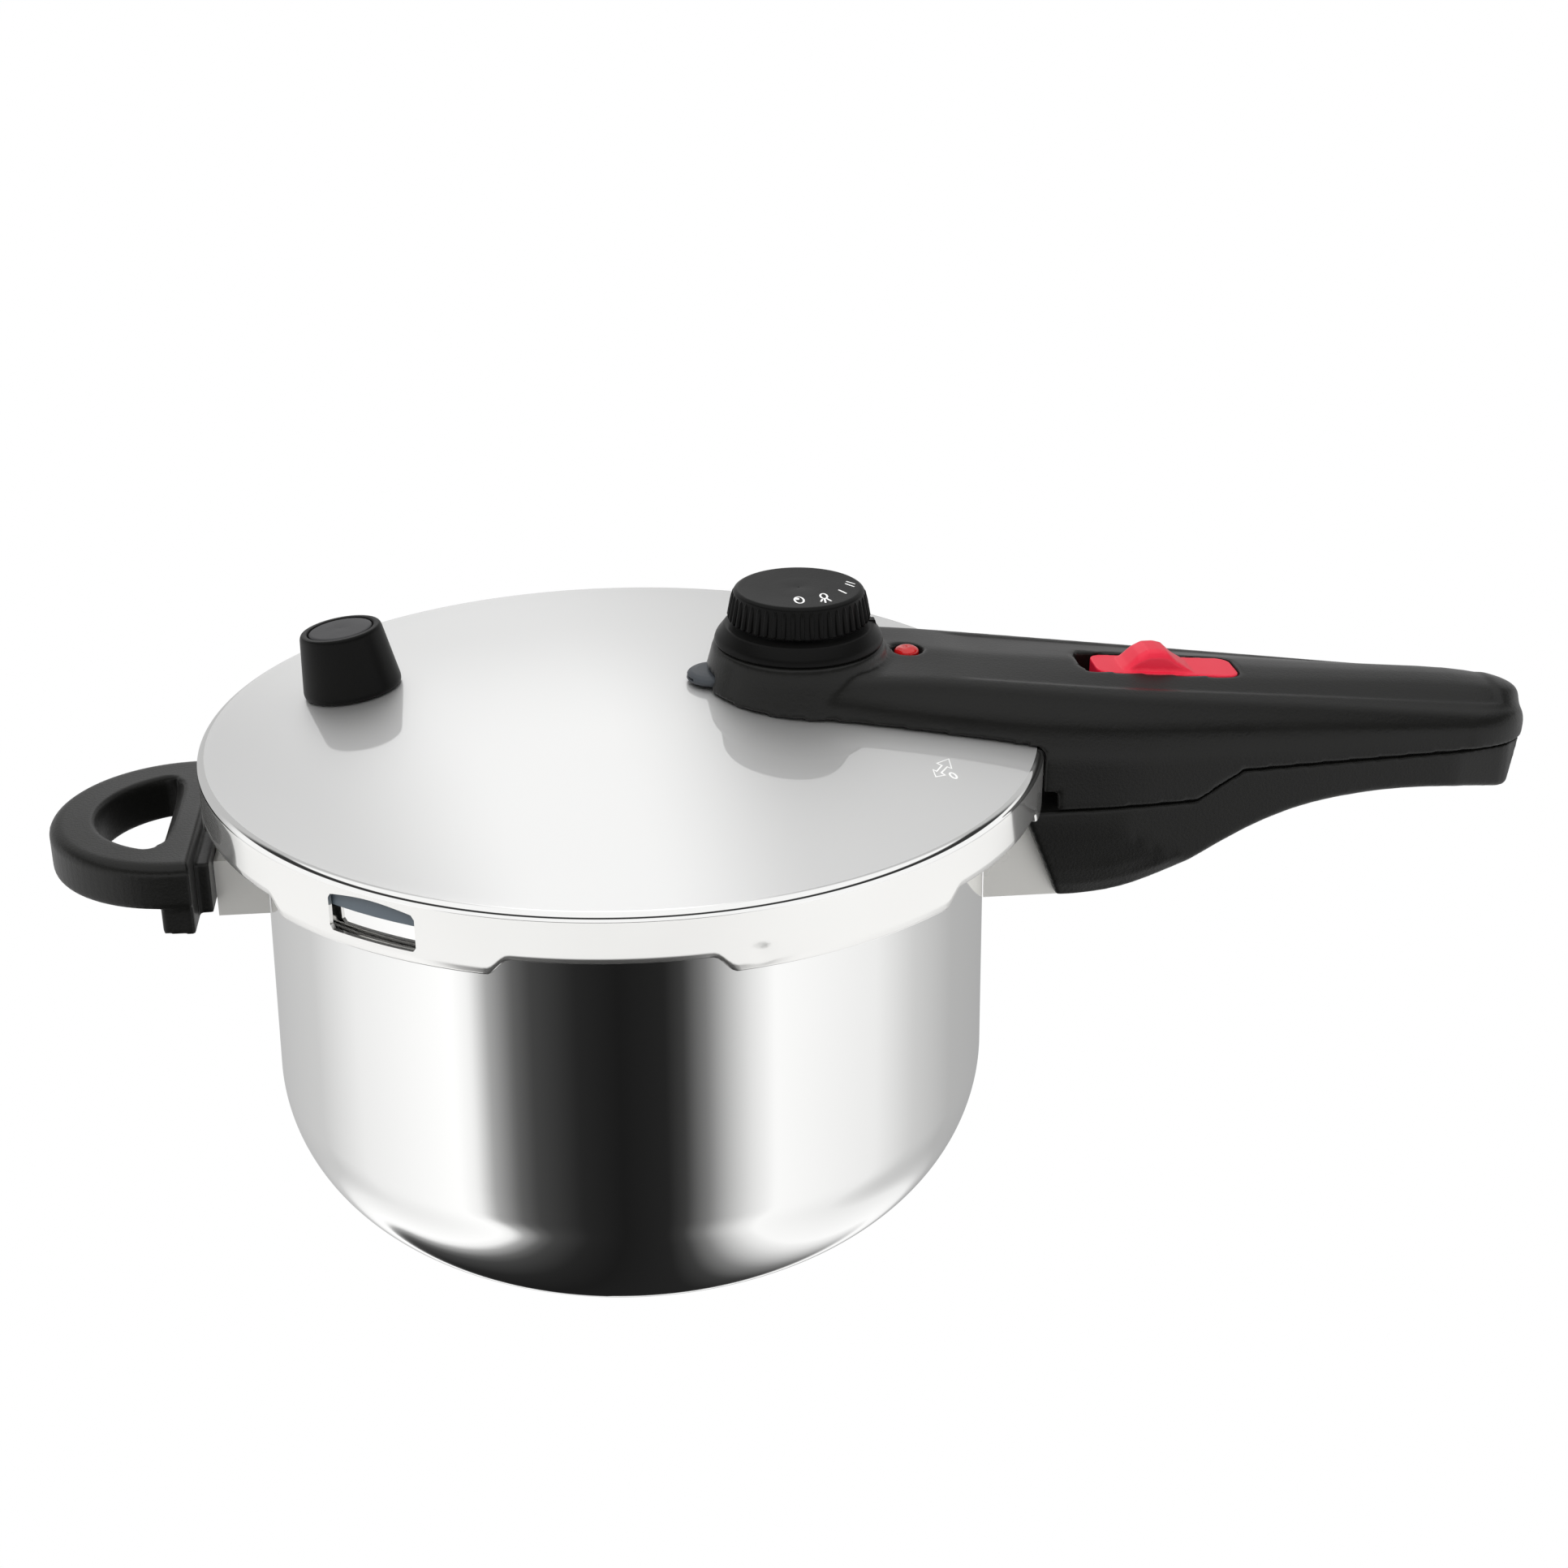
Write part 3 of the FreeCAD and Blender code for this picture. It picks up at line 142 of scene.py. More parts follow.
def add(tree, kind, inputs=None, **settings):
    """A node with its settings; inputs are plain values or sockets to link from."""
    made = tree.nodes.new(kind)
    for key, value in settings.items():
        setattr(made, key, value)
    for key, value in (inputs or {}).items():
        if isinstance(value, bpy.types.NodeSocket):
            tree.links.new(value, made.inputs[key])
        else:
            made.inputs[key].default_value = value
    return made


def surface(name, light, dark, rough, spread, grain, depth, metal=0.0, haze=0.0, coat=0.0, level=0.5, flare=0.0,
            sheen=0.0):
    """Finish with a fine grain (size and depth in mm), slow colour change between two hex codes and uneven
    roughness. Haze adds the broad second lobe of lightly brushed sheet, flare tips the face upwards a little."""
    material = bpy.data.materials.new(name)
    material.use_nodes = True
    tree = material.node_tree
    tree.nodes.clear()
    where = add(tree, "ShaderNodeTexCoord").outputs["Object"]
    fine = add(tree, "ShaderNodeTexNoise", {"Vector": where, "Scale": 1000 / grain, "Detail": 3.0, "Roughness": 0.6})
    slow = add(tree, "ShaderNodeTexNoise", {"Vector": where, "Scale": 1000 / (40 * grain), "Detail": 2.0})
    tint = add(
        tree, "ShaderNodeMix", {0: slow.outputs[0], 6: linear(light), 7: linear(dark)}, data_type="RGBA"
    ).outputs[2]
    wear = add(tree, "ShaderNodeMapRange", {
        "Value": slow.outputs[0], "From Min": 0.3, "From Max": 0.7, "To Min": rough - spread, "To Max": rough + spread,
    }).outputs[0]
    tipped = add(tree, "ShaderNodeVectorMath", {
        0: add(tree, "ShaderNodeNewGeometry").outputs["Normal"], 1: (0, 0, flare),
    }, operation="ADD").outputs[0]
    facing = add(tree, "ShaderNodeVectorMath", {0: tipped}, operation="NORMALIZE").outputs[0]
    bump = add(tree, "ShaderNodeBump", {
        "Height": fine.outputs[0], "Strength": 1.0, "Distance": depth / 1000, "Normal": facing,
    })
    base = add(tree, "ShaderNodeBsdfPrincipled", {
        "Base Color": tint, "Metallic": metal, "Roughness": wear, "Normal": bump.outputs[0], "Coat Weight": coat,
        "Specular IOR Level": level, "Sheen Weight": sheen, "Sheen Roughness": 0.4,
    }).outputs[0]
    if haze:
        broad = add(tree, "ShaderNodeBsdfPrincipled", {"Base Color": tint, "Metallic": metal, "Roughness": 0.55})
        base = add(tree, "ShaderNodeMixShader", {0: haze, 1: base, 2: broad.outputs[0]}).outputs[0]
    add(tree, "ShaderNodeOutputMaterial", {"Surface": base})
    return material


def copies(name, part, material, count=1, step=0.0, centre=(0, 0, 0), offset=(0, 0, 0), core=None):
    """Repeats a part with Geometry Nodes, turned about a vertical axis or set along an offset, and joins it
    to the core if there is one."""
    tree = bpy.data.node_groups.new(name, "GeometryNodeTree")
    tree.interface.new_socket("Geometry", in_out="INPUT", socket_type="NodeSocketGeometry")
    sockets = {}
    kinds = {"Part": "Object", "Count": "Int", "Step": "Float", "Centre": "Vector", "Offset": "Vector",
             "Finish": "Material"}
    for label, kind in kinds.items():
        made = tree.interface.new_socket(label, in_out="INPUT", socket_type="NodeSocket" + kind)
        sockets[label] = made.identifier
    tree.interface.new_socket("Geometry", in_out="OUTPUT", socket_type="NodeSocketGeometry")
    given = add(tree, "NodeGroupInput").outputs
    number = add(tree, "GeometryNodeInputIndex").outputs[0]
    along = add(
        tree, "ShaderNodeVectorMath", {0: given["Offset"], "Scale": number}, operation="SCALE"
    ).outputs[0]
    spot = add(tree, "ShaderNodeVectorMath", {0: given["Centre"], 1: along}, operation="ADD").outputs[0]
    angle = add(tree, "ShaderNodeMath", {0: number, 1: given["Step"]}, operation="MULTIPLY").outputs[0]
    turn = add(tree, "ShaderNodeCombineXYZ", {"Z": angle}).outputs[0]
    spots = add(tree, "GeometryNodePoints", {"Count": given["Count"], "Position": spot}).outputs[0]
    source = add(tree, "GeometryNodeObjectInfo", {"Object": given["Part"]}).outputs["Geometry"]
    placed = add(
        tree, "GeometryNodeInstanceOnPoints", {"Points": spots, "Instance": source, "Rotation": turn}
    ).outputs[0]
    real = add(tree, "GeometryNodeRealizeInstances", {"Geometry": placed}).outputs[0]
    joined = add(tree, "GeometryNodeJoinGeometry", {0: real})
    tree.links.new(given["Geometry"], joined.inputs[0])
    coated = add(tree, "GeometryNodeSetMaterial", {"Geometry": joined.outputs[0], "Material": given["Finish"]})
    tree.links.new(coated.outputs[0], add(tree, "NodeGroupOutput").inputs[0])
    piece = core or bpy.data.objects.new(name, bpy.data.meshes.new(name))
    if not core:
        bpy.context.scene.collection.objects.link(piece)
    maker = piece.modifiers.new(name, "NODES")
    maker.node_group = tree
    values = {"Part": part, "Count": count, "Step": math.radians(step), "Finish": material,
              "Centre": [v / 1000 for v in centre], "Offset": [v / 1000 for v in offset]}
    for label, value in values.items():
        maker[sockets[label]] = value
    bake(piece)
    discard(part)
    return piece


# Mirror-polished 18/10 sheet: the buffing leaves a faint long ripple and almost no haze.
polished = surface("steel mirror polished", "#f4f4f3", "#eeeeed", 0.055, 0.02, 4.0, 0.0004, metal=1.0)
wall = [(0, 5.8), (79.5, 5.8), (79.5, 3.1)]
wall += arc((63, 49), 49, -69.5, 0, 30)
wall += [(112 - 2 * k / 12, 49 + 95.1 * k / 12) for k in range(1, 13)]
wall += [(118.2, 144.2), (118.3, 143.6), (118.3, 138.6), (118.6, 138.4), (119.2, 138.4), (119.5, 138.7)]
wall += arc((118.3, 144.2), 1.2, 0, 90, 5)
wall += [(110.4, 145.4), (109.4, 145.2), (108.8, 144.4)]
wall += [(108.8 + 2 * k / 8, 144.4 - 95.4 * k / 8) for k in range(1, 9)]
wall += arc((63, 49), 47.8, 0, -61.5, 20)
wall += [(84.5, 7.1), (82, 7), (40, 7), (0, 7)]
pot = turned("pot_body", wall, steps=256)
lug = turned("lug", soften([
    (118.9, 144.2), (123.6, 144.2), (123.6, 137.2), (124.8, 137.2), (124.8, 145.4), (118.9, 145.4),
], 0.5), steps=16, start=-14.2, sweep=19.6)
copies("rim lugs", lug, polished, count=6, step=60, core=pot)
shade(pot, polished)
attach(pot, "pot")
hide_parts("pot_shell")

# ---- base ----------------------------------------------------------------------------------------
# The steel cap pressed over the heat-spreading disc, spun with fine rings, with a rounded edge.
spun = surface("steel spun satin", "#cfcdc9", "#bdbbb7", 0.32, 0.05, 0.25, 0.004, metal=1.0)
rings = [(0, 0.25)]
for k in range(24):
    rings += [(3 + 3 * k, 0.0), (4 + 3 * k, 0.0), (4.5 + 3 * k, 0.12), (5.5 + 3 * k, 0.12)]
rings += [(75.5, 0), (78.1, 0), (78.9, 0.4), (79.3, 1.2), (79.3, 4.9), (79.0, 5.3), (78.4, 5.3), (78.4, 0.9), (0, 0.9)]
base = turned("base_disc_cap", rings, steps=192)
shade(base, spun, 50)
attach(base, "pot")
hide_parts("base_cap")

# ---- lid -----------------------------------------------------------------------------------------
# Pressed lid: shallow dome, tight rounded shoulder, skirt with six lobes that run out in soft S curves
# and turn in underneath, an arched window over the sealing ring, and one pressed dimple.
hazy = surface("steel polished hazy", "#f5f5f4", "#efefef", 0.05, 0.015, 3.0, 0.0003, metal=1.0, haze=0.72)
bright = surface("steel rolled bright", "#f8f8f6", "#eeedeb", 0.08, 0.03, 1.2, 0.0006, metal=1.0, haze=0.2, flare=0.17)
satin = surface("steel fine satin", "#f8f7f3", "#efeeea", 0.3, 0.04, 0.6, 0.002, metal=1.0, haze=0.75)
dome_radius = (125.3 ** 2 + 13.1 ** 2) / (2 * 13.1)


def lid_height(x, y):
    """Height of the lid's upper face over a point."""
    return 168 - dome_radius + math.sqrt(dome_radius ** 2 - x * x - y * y)


def ease(t):
    """Soft step from 0 to 1."""
    t = min(max(t, 0.0), 1.0)
    return t * t * (3 - 2 * t)


columns = []
for s in range(648):
    azimuth = 360 * s / 648 - 180
    off = abs((azimuth + 4.8 + 30) % 60 - 30)
    lobe = 1 - ease((off - 15.1) / 2.9)
    low = 140.2 - 4.9 * lobe
    inner = 126.5 - 6.2 * lobe
    column = [(r, lid_height(r, 0)) for r in [0, 6, 14, 24, 36, 48, 60, 72, 84, 94, 102, 108, 113, 117, 120, 122.5, 124.3]]
    column += arc((125.3, 152.5), 2.4, 84, 0, 9)
    column += [(127.7, 152.5 + (low + 1 - 152.5) * k / 8) for k in range(1, 9)]
    column += [(127.4, low + 0.35), (126.8, low), (0.5 * (126.5 + inner), low), (inner, low + 0.1)]
    column += [(inner, low + 1.1), (0.5 * (126.5 + inner), low + 1.2), (126.5, low + 1.3)]
    column += [(126.5, low + 1.3 + (151.6 - low - 1.3) * k / 5) for k in range(1, 6)]
    column += arc((125.3, 152.5), 1.2, 0, 80, 4)
    column += [(r, lid_height(r, 0) - 1.2) for r in [120, 110, 95, 75, 50, 25, 0]]
    angle = math.radians(azimuth)
    dent = math.exp(-((azimuth + 77.1) / 1.1) ** 2)
    for radius, height in column:
        if radius > 126:
            radius -= 0.9 * dent * math.exp(-((height - 139.8) / 1.1) ** 2)
        columns.append((radius * math.cos(angle), radius * math.sin(angle), height))
size = len(columns) // 648
faces = []
for s in range(648):
    t = (s + 1) % 648
    for i in range(size - 1):
        faces.append((s * size + i, t * size + i, t * size + i + 1, s * size + i + 1))
lid = shape("lid_dome", columns, faces)
window = []
for s in range(33):
    azimuth = math.radians(-131 + 12.6 * s / 32)
    edge = min(s, 32 - s) / 32 * 28.0
    inset = 1.2 - math.sqrt(1.44 - max(0.0, 1.2 - edge) ** 2) if edge < 1.2 else 0
    rise = 1.7 * math.sin(math.pi * s / 32)
    low, high = 139 + inset, 149.6 - inset + rise
    for radius, height in ((123.5, low), (131, low), (131, high), (123.5, high)):
        window.append((radius * math.cos(azimuth), radius * math.sin(azimuth), height))
faces = [(4 * s + i, 4 * s + 4 + i, 4 * s + 4 + (i + 1) % 4, 4 * s + (i + 1) % 4) for s in range(32) for i in range(4)]
faces += [(0, 1, 2, 3), (131, 130, 129, 128)]
tools = [shape("window_tool", window, faces)]
for x, y, radius in ((53.3, 0, 9), (86.7, 0, 5.4)):
    tools.append(turned("hole_tool", [(0, 140), (radius, 140), (radius, 180), (0, 180)], 48, (x, y)))
safe_place = (
    Matrix.Translation((84.8 * math.cos(math.radians(166.7)), 84.8 * math.sin(math.radians(166.7)), lid_height(84.8, 0)))
    @ Matrix.Rotation(math.radians(166.7), 4, "Z")
    @ Matrix.Rotation(math.asin(84.8 / dome_radius), 4, "Y")
)
tools.append(turned("hole_tool", [(0, -9), (7, -9), (7, 9), (0, 9)], 48, place=safe_place))


def combine(piece, tools, operation="DIFFERENCE"):
    """Cuts the tools out of the piece, or joins them to it, and removes them."""
    for tool in tools:
        change = piece.modifiers.new("combine", "BOOLEAN")
        change.operation = operation
        change.solver = "EXACT"
        change.object = tool
    bake(piece)
    for tool in tools:
        discard(tool)
    return piece


combine(lid, tools)
shade(lid, hazy)
lid.data.materials.append(bright)
lid.data.materials.append(polished)
for face in lid.data.polygons:
    out_from_axis = math.hypot(face.center.x, face.center.y)
    if face.center.z < 0.1518 and out_from_axis > 0.118:
        face.material_index = 1
    elif out_from_axis > 0.1252:
        face.material_index = 2
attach(lid, "lid")
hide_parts("lid_shell")

# ---- lid handle ----------------------------------------------------------------------------------
# One phenolic moulding: the round selector housing runs into a long grip with rolled shoulders, a shallow
# panel on top, the lock's slot and the indicator's hole. Voxel remeshing melts the edges to small radii.


def prism(name, outline, low, high, axis="z"):
    """Straight piece between two stations along an axis, from an outline in the plane across it."""
    order = {"x": (2, 0, 1), "y": (0, 2, 1), "z": (0, 1, 2)}[axis]
    points = [tuple((a, b, end)[i] for i in order) for end in (low, high) for a, b in outline]
    size = len(outline)
    faces = [(i, (i + 1) % size, size + (i + 1) % size, size + i) for i in range(size)]
    faces += [tuple(range(size)), tuple(range(size, 2 * size))]
    return shape(name, points, faces)


def lofted(name, rings):
    """Skin through rings of as many points each, closed at both ends."""
    size = len(rings[0])
    faces = []
    for s in range(len(rings) - 1):
        for i in range(size):
            j = (i + 1) % size
            faces.append((s * size + i, s * size + j, (s + 1) * size + j, (s + 1) * size + i))
    faces += [tuple(range(size)), tuple(range((len(rings) - 1) * size, len(rings) * size))]
    return shape(name, [p for ring in rings for p in ring], faces)


def moulded(piece, cell, rounds):
    """Melts edges into moulded radii: voxels of that size, then smoothing."""
    melt = piece.modifiers.new("melt", "REMESH")
    melt.mode = "VOXEL"
    melt.voxel_size = cell / 1000
    calm = piece.modifiers.new("calm", "SMOOTH")
    calm.iterations = rounds
    return bake(piece)


def box(name, low, high):
    """Plain cutting block between two corners."""
    return prism(name, [(low[0], low[1]), (high[0], low[1]), (high[0], high[1]), (low[0], high[1])], low[2], high[2])


# Compression-moulded phenolic: near-black, a fine orange-peel grain, semi-matt.
phenolic = surface("phenolic black matt", "#0b0b0a", "#11110f", 0.35, 0.04, 0.9, 0.07, level=0.27, sheen=0.07)
stations = [
    (56, 29.6, 164, 25, 175.9, 177.0),
    (90, 33.4, 159, 24.5, 173.4, 175),
    (120, 34.6, 153, 24.5, 169.8, 171.8),
    (150, 33.6, 150, 24.3, 166.2, 169),
    (213, 27.2, 147.5, 21.4, 159.5, 163.6),
]
for k in range(41):
    on = 26.6 * math.sin(math.pi * k / 80)
    close = (1 - (on / 26.7) ** 2.8) ** (1 / 2.8)
    drop = 1 - (1 - (on / 26.7) ** 3.5) ** (1 / 3.5)
    stations.append((258 + on, (23 - 0.093 * on) * close, 145.5 - 0.056 * on, (19.8 - 0.036 * on) * close,
                     154.3 - 0.115 * on - 4 * drop, 160.3 - 0.13 * on - 6 * drop))
table = np.array(stations, float)
along = np.concatenate([np.arange(56, 258, 3), table[5:, 0]])
even = np.arange(30, 300, 1.0)
rows = []
for k in range(1, 6):
    plain = np.interp(even, table[:, 0], table[:, k])
    calm = np.convolve(np.pad(plain, 8, mode="edge"), np.ones(17) / 17, "valid")
    rows.append(np.where(along < 262, np.interp(along, even, calm), np.interp(along, table[:, 0], table[:, k])))
rings = []
for x, foot, lean, wide, edge, crown in zip(along, *rows):
    side = [
        (foot, 130), (foot, lean), (wide + 0.66 * (foot - wide) + 0.6, lean + 0.5 * (edge - lean)),
        (wide + 0.9, edge - 1.7), (wide - 0.5, edge + 0.1), (wide - 3, edge + 0.8), (wide * 0.4, crown - 0.1),
    ]
    ring = side + [(0, crown + 0.7)] + [(-y, z) for y, z in reversed(side)]
    rings.append([(x, y, z) for y, z in soften(ring, 2.5, 2)])
grip = lofted("lid_handle", rings)
housing = turned("housing", soften([(0, 158), (31, 158), (30.4, 165), (27.2, 175), (26, 180), (0, 180)], 1.6), 160, (53.3, 0))
combine(grip, [housing], "UNION")
under = [(0, 60), (0, 168.4)] + [(r, lid_height(r, 0) + 0.4) for r in (20, 40, 60, 75, 90, 100, 110, 118, 123, 125.3)]
under += [(126.9, 154.6), (128.1, 152.5), (128.1, 140.4), (132.6, 140.4), (132.6, 134)]
under += [(175, 134), (189, 142.8), (304.6, 142.8), (304.6, 60)]
slot = [(144.2, -8.4)] + arc((187, -4.2), 4.2, -90, 0, 6) + arc((187, 4.2), 4.2, 0, 90, 6)
slot += arc((144.2, 4.2), 4.2, 90, 180, 6) + arc((144.2, -4.2), 4.2, 180, 264, 6)
combine(grip, [
    turned("tool", under, 360),
    turned("tool", [(0, 150), (20.5, 150), (20.5, 176), (6, 176), (6, 200), (0, 200)], 96, (53.3, 0)),
    turned("tool", [(0, 150), (5, 150), (5, 190), (0, 190)], 48, (86.7, 0)),
    box("tool", (133.9, -11.5, 120), (172.5, 11.5, 150)),
    box("tool", (133.9, -11.5, 146), (198, 11.5, 160)),
    prism("tool", slot, 158, 190),
    box("tool", (125, -3.2, 135.6), (136, 3.2, 139)),
    box("tool", (20, -9, 160), (36, 9, 172.2)),
    box("tool", (79.5, -40, 150), (92.5, -15, 165.6)),
])
moulded(grip, 0.88, 3)
for corner in grip.data.vertices:
    x, y, z = [1000 * v for v in corner.co]
    wide = float(np.interp(x, along, rows[2])) - 5.2
    inside = min(wide - abs(y), (x - 104) / 8, (274 - x) / 2)
    if corner.normal.z > 0.6 and z > 150 and inside > -1:
        corner.co.z -= 0.0005 * ease((inside + 1) / 1.8)
shade(grip, phenolic, 80)
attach(grip, "lid")
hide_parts("upper_handle")

# ---- lower handle --------------------------------------------------------------------------------
# The half of the handle that stays on the pot: deep beside the wall, swept up to a thin tail that closes
# the grip from below, with an undercut flank and a slanted face towards the pot.
sweep = [(119, 100.6), (131.8, 100.6), (143.7, 100.4), (152, 102.6), (162, 107.2), (172, 113), (184, 119.6), (197.5, 125.6),
         (213, 129.5), (234, 131.2), (256, 130.4), (276.1, 127.2), (277.6, 127.6)]
even = np.arange(90, 300, 1.0)
plain = np.interp(even, [p[0] for p in sweep], [p[1] for p in sweep])
calm = np.convolve(np.pad(plain, 9, mode="edge"), np.ones(19) / 19, "valid")
rings = []
for x in np.concatenate([np.arange(112, 276, 3), np.linspace(276.5, 281.6, 5)]):
    low = float(np.interp(x, even, calm if x < 262 else plain))
    wide = float(np.interp(x, [100, 150, 213, 258, 275.6, 285.6], [33.8, 32.6, 26.8, 22.6, 18, 9]))
    side = []
    for t in np.linspace(0, 1, 9):
        z = low + (146 - low) * t
        side.append((min(wide, float(np.interp(z, [101, 103.5, 113, 131], [25.6, 27, 30.5, 33.8]))), z))
    edge = side[0][0]
    side[:1] = [(edge - 2.2, low), (edge - 0.7, low + 0.5), (edge, low + 1.8)]
    rings.append([(float(x), y, z) for y, z in side + [(-y, z) for y, z in reversed(side)]])
lower = lofted("lower_handle_grip", rings)
combine(lower, [
    turned("tool", [(0, 133.4), (175, 133.4), (189, 142.2), (304, 142.2), (304, 200), (0, 200)], 360),
    prism("tool", [(100, 60), (148.6, 60), (131.9, 100.4), (119.2, 131), (114, 150), (100, 150)], -60, 60, "y"),
    prism("tool", [(278, 120), (277.8, 127.6), (281.6, 142.4), (281.6, 160), (300, 160), (300, 120)], -60, 60, "y"),
    turned("tool", [(0, 80), (5, 80), (5, 110), (0, 110)], 32, (150, 0)),
])
moulded(lower, 0.7, 6)
shade(lower, phenolic, 80)
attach(lower, "pot")
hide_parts("lower_handle")

# ---- helper handle -------------------------------------------------------------------------------
# Thick D-shaped loop with rounded upper edges, a finger opening, a bridge scooped towards the fingers and
# a block at its back that carries it on the bracket.
loop = (45.5 ** 2 + 39.8 ** 2) / (2 * 45.5)
spread = math.degrees(math.asin(39.8 / loop))
if 45.5 > loop:
    spread = 180 - spread
outer = arc((-174 + loop, 0), loop, 180 - spread, 180 + spread, 48)


def shrunk(outline, inset, middle):
    """Outline drawn in towards its middle by about that much."""
    out = []
    for point in outline:
        ray = Vector(point) - Vector(middle)
        out.append(tuple(Vector(middle) + ray * (1 - inset / ray.length)))
    return out


levels = [(118.5, 0.8), (119.4, 0.1), (120.5, 0), (129.8, 0), (131.2, 0.8), (132.1, 2.2), (132.4, 3.6)]
rings = []
for height, inset in levels:
    ring = [(min(x, -128.5), y) for x, y in shrunk(outer, inset, (-146, 0))]
    rings.append([(x, y, height) for x, y in ring])
helper = lofted("helper_handle_loop", rings)
block = prism("block", soften([(-128.5, -39.4), (-128.5, 39.4), (-138, 38.2), (-138, -38.2)], 1.2), 110, 128.6)
heel = prism("heel", [(-130, -30), (-130, 30), (-124.3, 30), (-124.3, -30)], 112, 128.2)
combine(helper, [block, heel], "UNION")
finger = arc((-132.6, 0), 27.5, 180 - 68, 180 + 68, 40)
rings = [[(x, y, z) for x, y in soften([(-139.5, 25.5), *shrunk(finger, inset, (-145, 0)), (-139.5, -25.5)], 1.5, 2)]
         for z, inset in ((100, 0), (129.6, 0), (131.4, -0.4), (133, -1.5))]
scoops = []
for t in np.linspace(-1, 1, 33):
    reach = 0.4 + 11.6 * (1 - abs(t) ** 5) ** 0.2
    scoops.append([(x, 25.2 * t, z) for x, z in [(-146, 142), *reversed(arc((-147.5, 136), reach, -85, 40, 14))]])
scoop = lofted("tool", scoops)
tools = [lofted("tool", rings), scoop, turned("tool", [(0, 105), (3.6, 105), (3.6, 113.5), (0, 113.5)], 32, (-133, 0))]
for side in (1, -1):
    tools.append(lofted("tool", [
        [(-122, side * 42, 105), (-122, side * 33, 105), (-133.5, side * 42, 105)],
        [(-122, side * 42, 126), (-126.5, side * 42, 126), (-122, side * 39, 126)],
    ]))
combine(helper, tools)
moulded(helper, 0.55, 3)
shade(helper, phenolic, 80)
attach(helper, "pot")
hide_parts("helper_handle")

# ---- brackets ------------------------------------------------------------------------------------
# Pressed channels between the wall and the handles, satin steel, with their edges broken.
for name in ("handle_bracket", "helper_bracket"):
    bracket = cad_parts[name]
    for slot_here in bracket.material_slots:
        slot_here.material = satin
    edge = bracket.modifiers.new("broken edges", "BEVEL")
    edge.width = 0.0003
    edge.segments = 2
    edge.limit_method = "ANGLE"

# ---- selector collar and knob --------------------------------------------------------------------
# The collar caps the housing and carries a small index rib. The knob has 46 rounded ribs and a shallow
# dished top with four printed positions.
plastic = surface("plastic black fine texture", "#070707", "#0b0b0a", 0.38, 0.03, 0.6, 0.03, level=0.11, sheen=0.03)
collar = turned("selector_collar_ring", soften([
    (16.5, 180.3), (25.8, 180.3), (25.2, 182), (22.6, 185.4), (16.5, 185.4),
], 0.6), 160, (53.3, 0))
rib = prism("rib", soften([(74.4, 181), (77.9, 181), (77.1, 183), (76.6, 185.7), (74.4, 185.7)], 0.5), -1.3, 1.3, "y")
combine(collar, [rib], "UNION")
shade(collar, plastic, 40)
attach(collar, "lid")
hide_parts("selector_collar")

knob = turned("selector_knob_cap", soften([
    (5.15, 181.8), (8, 181.8), (8, 193.8), (16.9, 193.8), (18.2, 186.8), (20.7, 186.8), (20.7, 188.2), (19.9, 194.8),
    (19.7, 195.9), (18.6, 196.6), (16.5, 196.55), (9, 196.45), (0, 196.5), (0, 192.6), (5.15, 192.6),
], 0.45), 184, (53.3, 0))
steps = [(187.0, 20.6, 0.25), (187.3, 20.7, 0.8), (188.0, 20.7, 1.05), (193.0, 19.8, 1.0), (194.6, 19.5, 0.9),
         (195.5, 19.3, 0.5), (195.8, 19.2, 0.2)]
ridge = lofted("ridge", [[(r + w * math.cos(a), 0.8 * w * math.sin(a), z) for a in np.linspace(0, 2 * math.pi, 13)[:-1]]
                         for z, r, w in steps])
copies("knob ribs", ridge, plastic, count=46, step=360 / 46, centre=(53.3, 0, 0), core=knob)
shade(knob, plastic, 50)
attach(knob, "selector")
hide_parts("selector_knob")

# ---- printed marks -------------------------------------------------------------------------------
# Thin white pad printing: open, steam, I and II on the knob, and the closing arrow with its oval on the lid.


def printed(name, paths, height, half):
    """Lines of that half width lying on a surface; each path is its points and whether it closes."""
    drawing = bpy.data.curves.new(name, "CURVE")
    drawing.dimensions = "3D"
    drawing.bevel_depth = half / 1000
    drawing.bevel_resolution = 2
    drawing.use_fill_caps = True
    for points, closed in paths:
        line = drawing.splines.new("POLY")
        line.points.add(len(points) - 1)
        for spot, (x, y) in zip(line.points, points):
            spot.co = (x / 1000, y / 1000, height(x, y) / 1000, 1)
        line.use_cyclic_u = closed
    pen = bpy.data.objects.new(name, drawing)
    mesh = bpy.data.meshes.new_from_object(pen)
    bpy.data.objects.remove(pen)
    for corner in mesh.vertices:
        under = height(1000 * corner.co.x, 1000 * corner.co.y) / 1000
        corner.co.z = under + 0.2 * (corner.co.z - under)
    piece = bpy.data.objects.new(name, mesh)
    bpy.context.scene.collection.objects.link(piece)
    return piece


def oval(x, y, across, deep, lean=0.0):
    """Closed ellipse round a point."""
    out = []
    for k in range(28):
        a = 2 * math.pi * k / 28
        u, v = across * math.cos(a), deep * math.sin(a)
        out.append((x + u * math.cos(lean) - v * math.sin(lean), y + u * math.sin(lean) + v * math.cos(lean)))
    return out, True


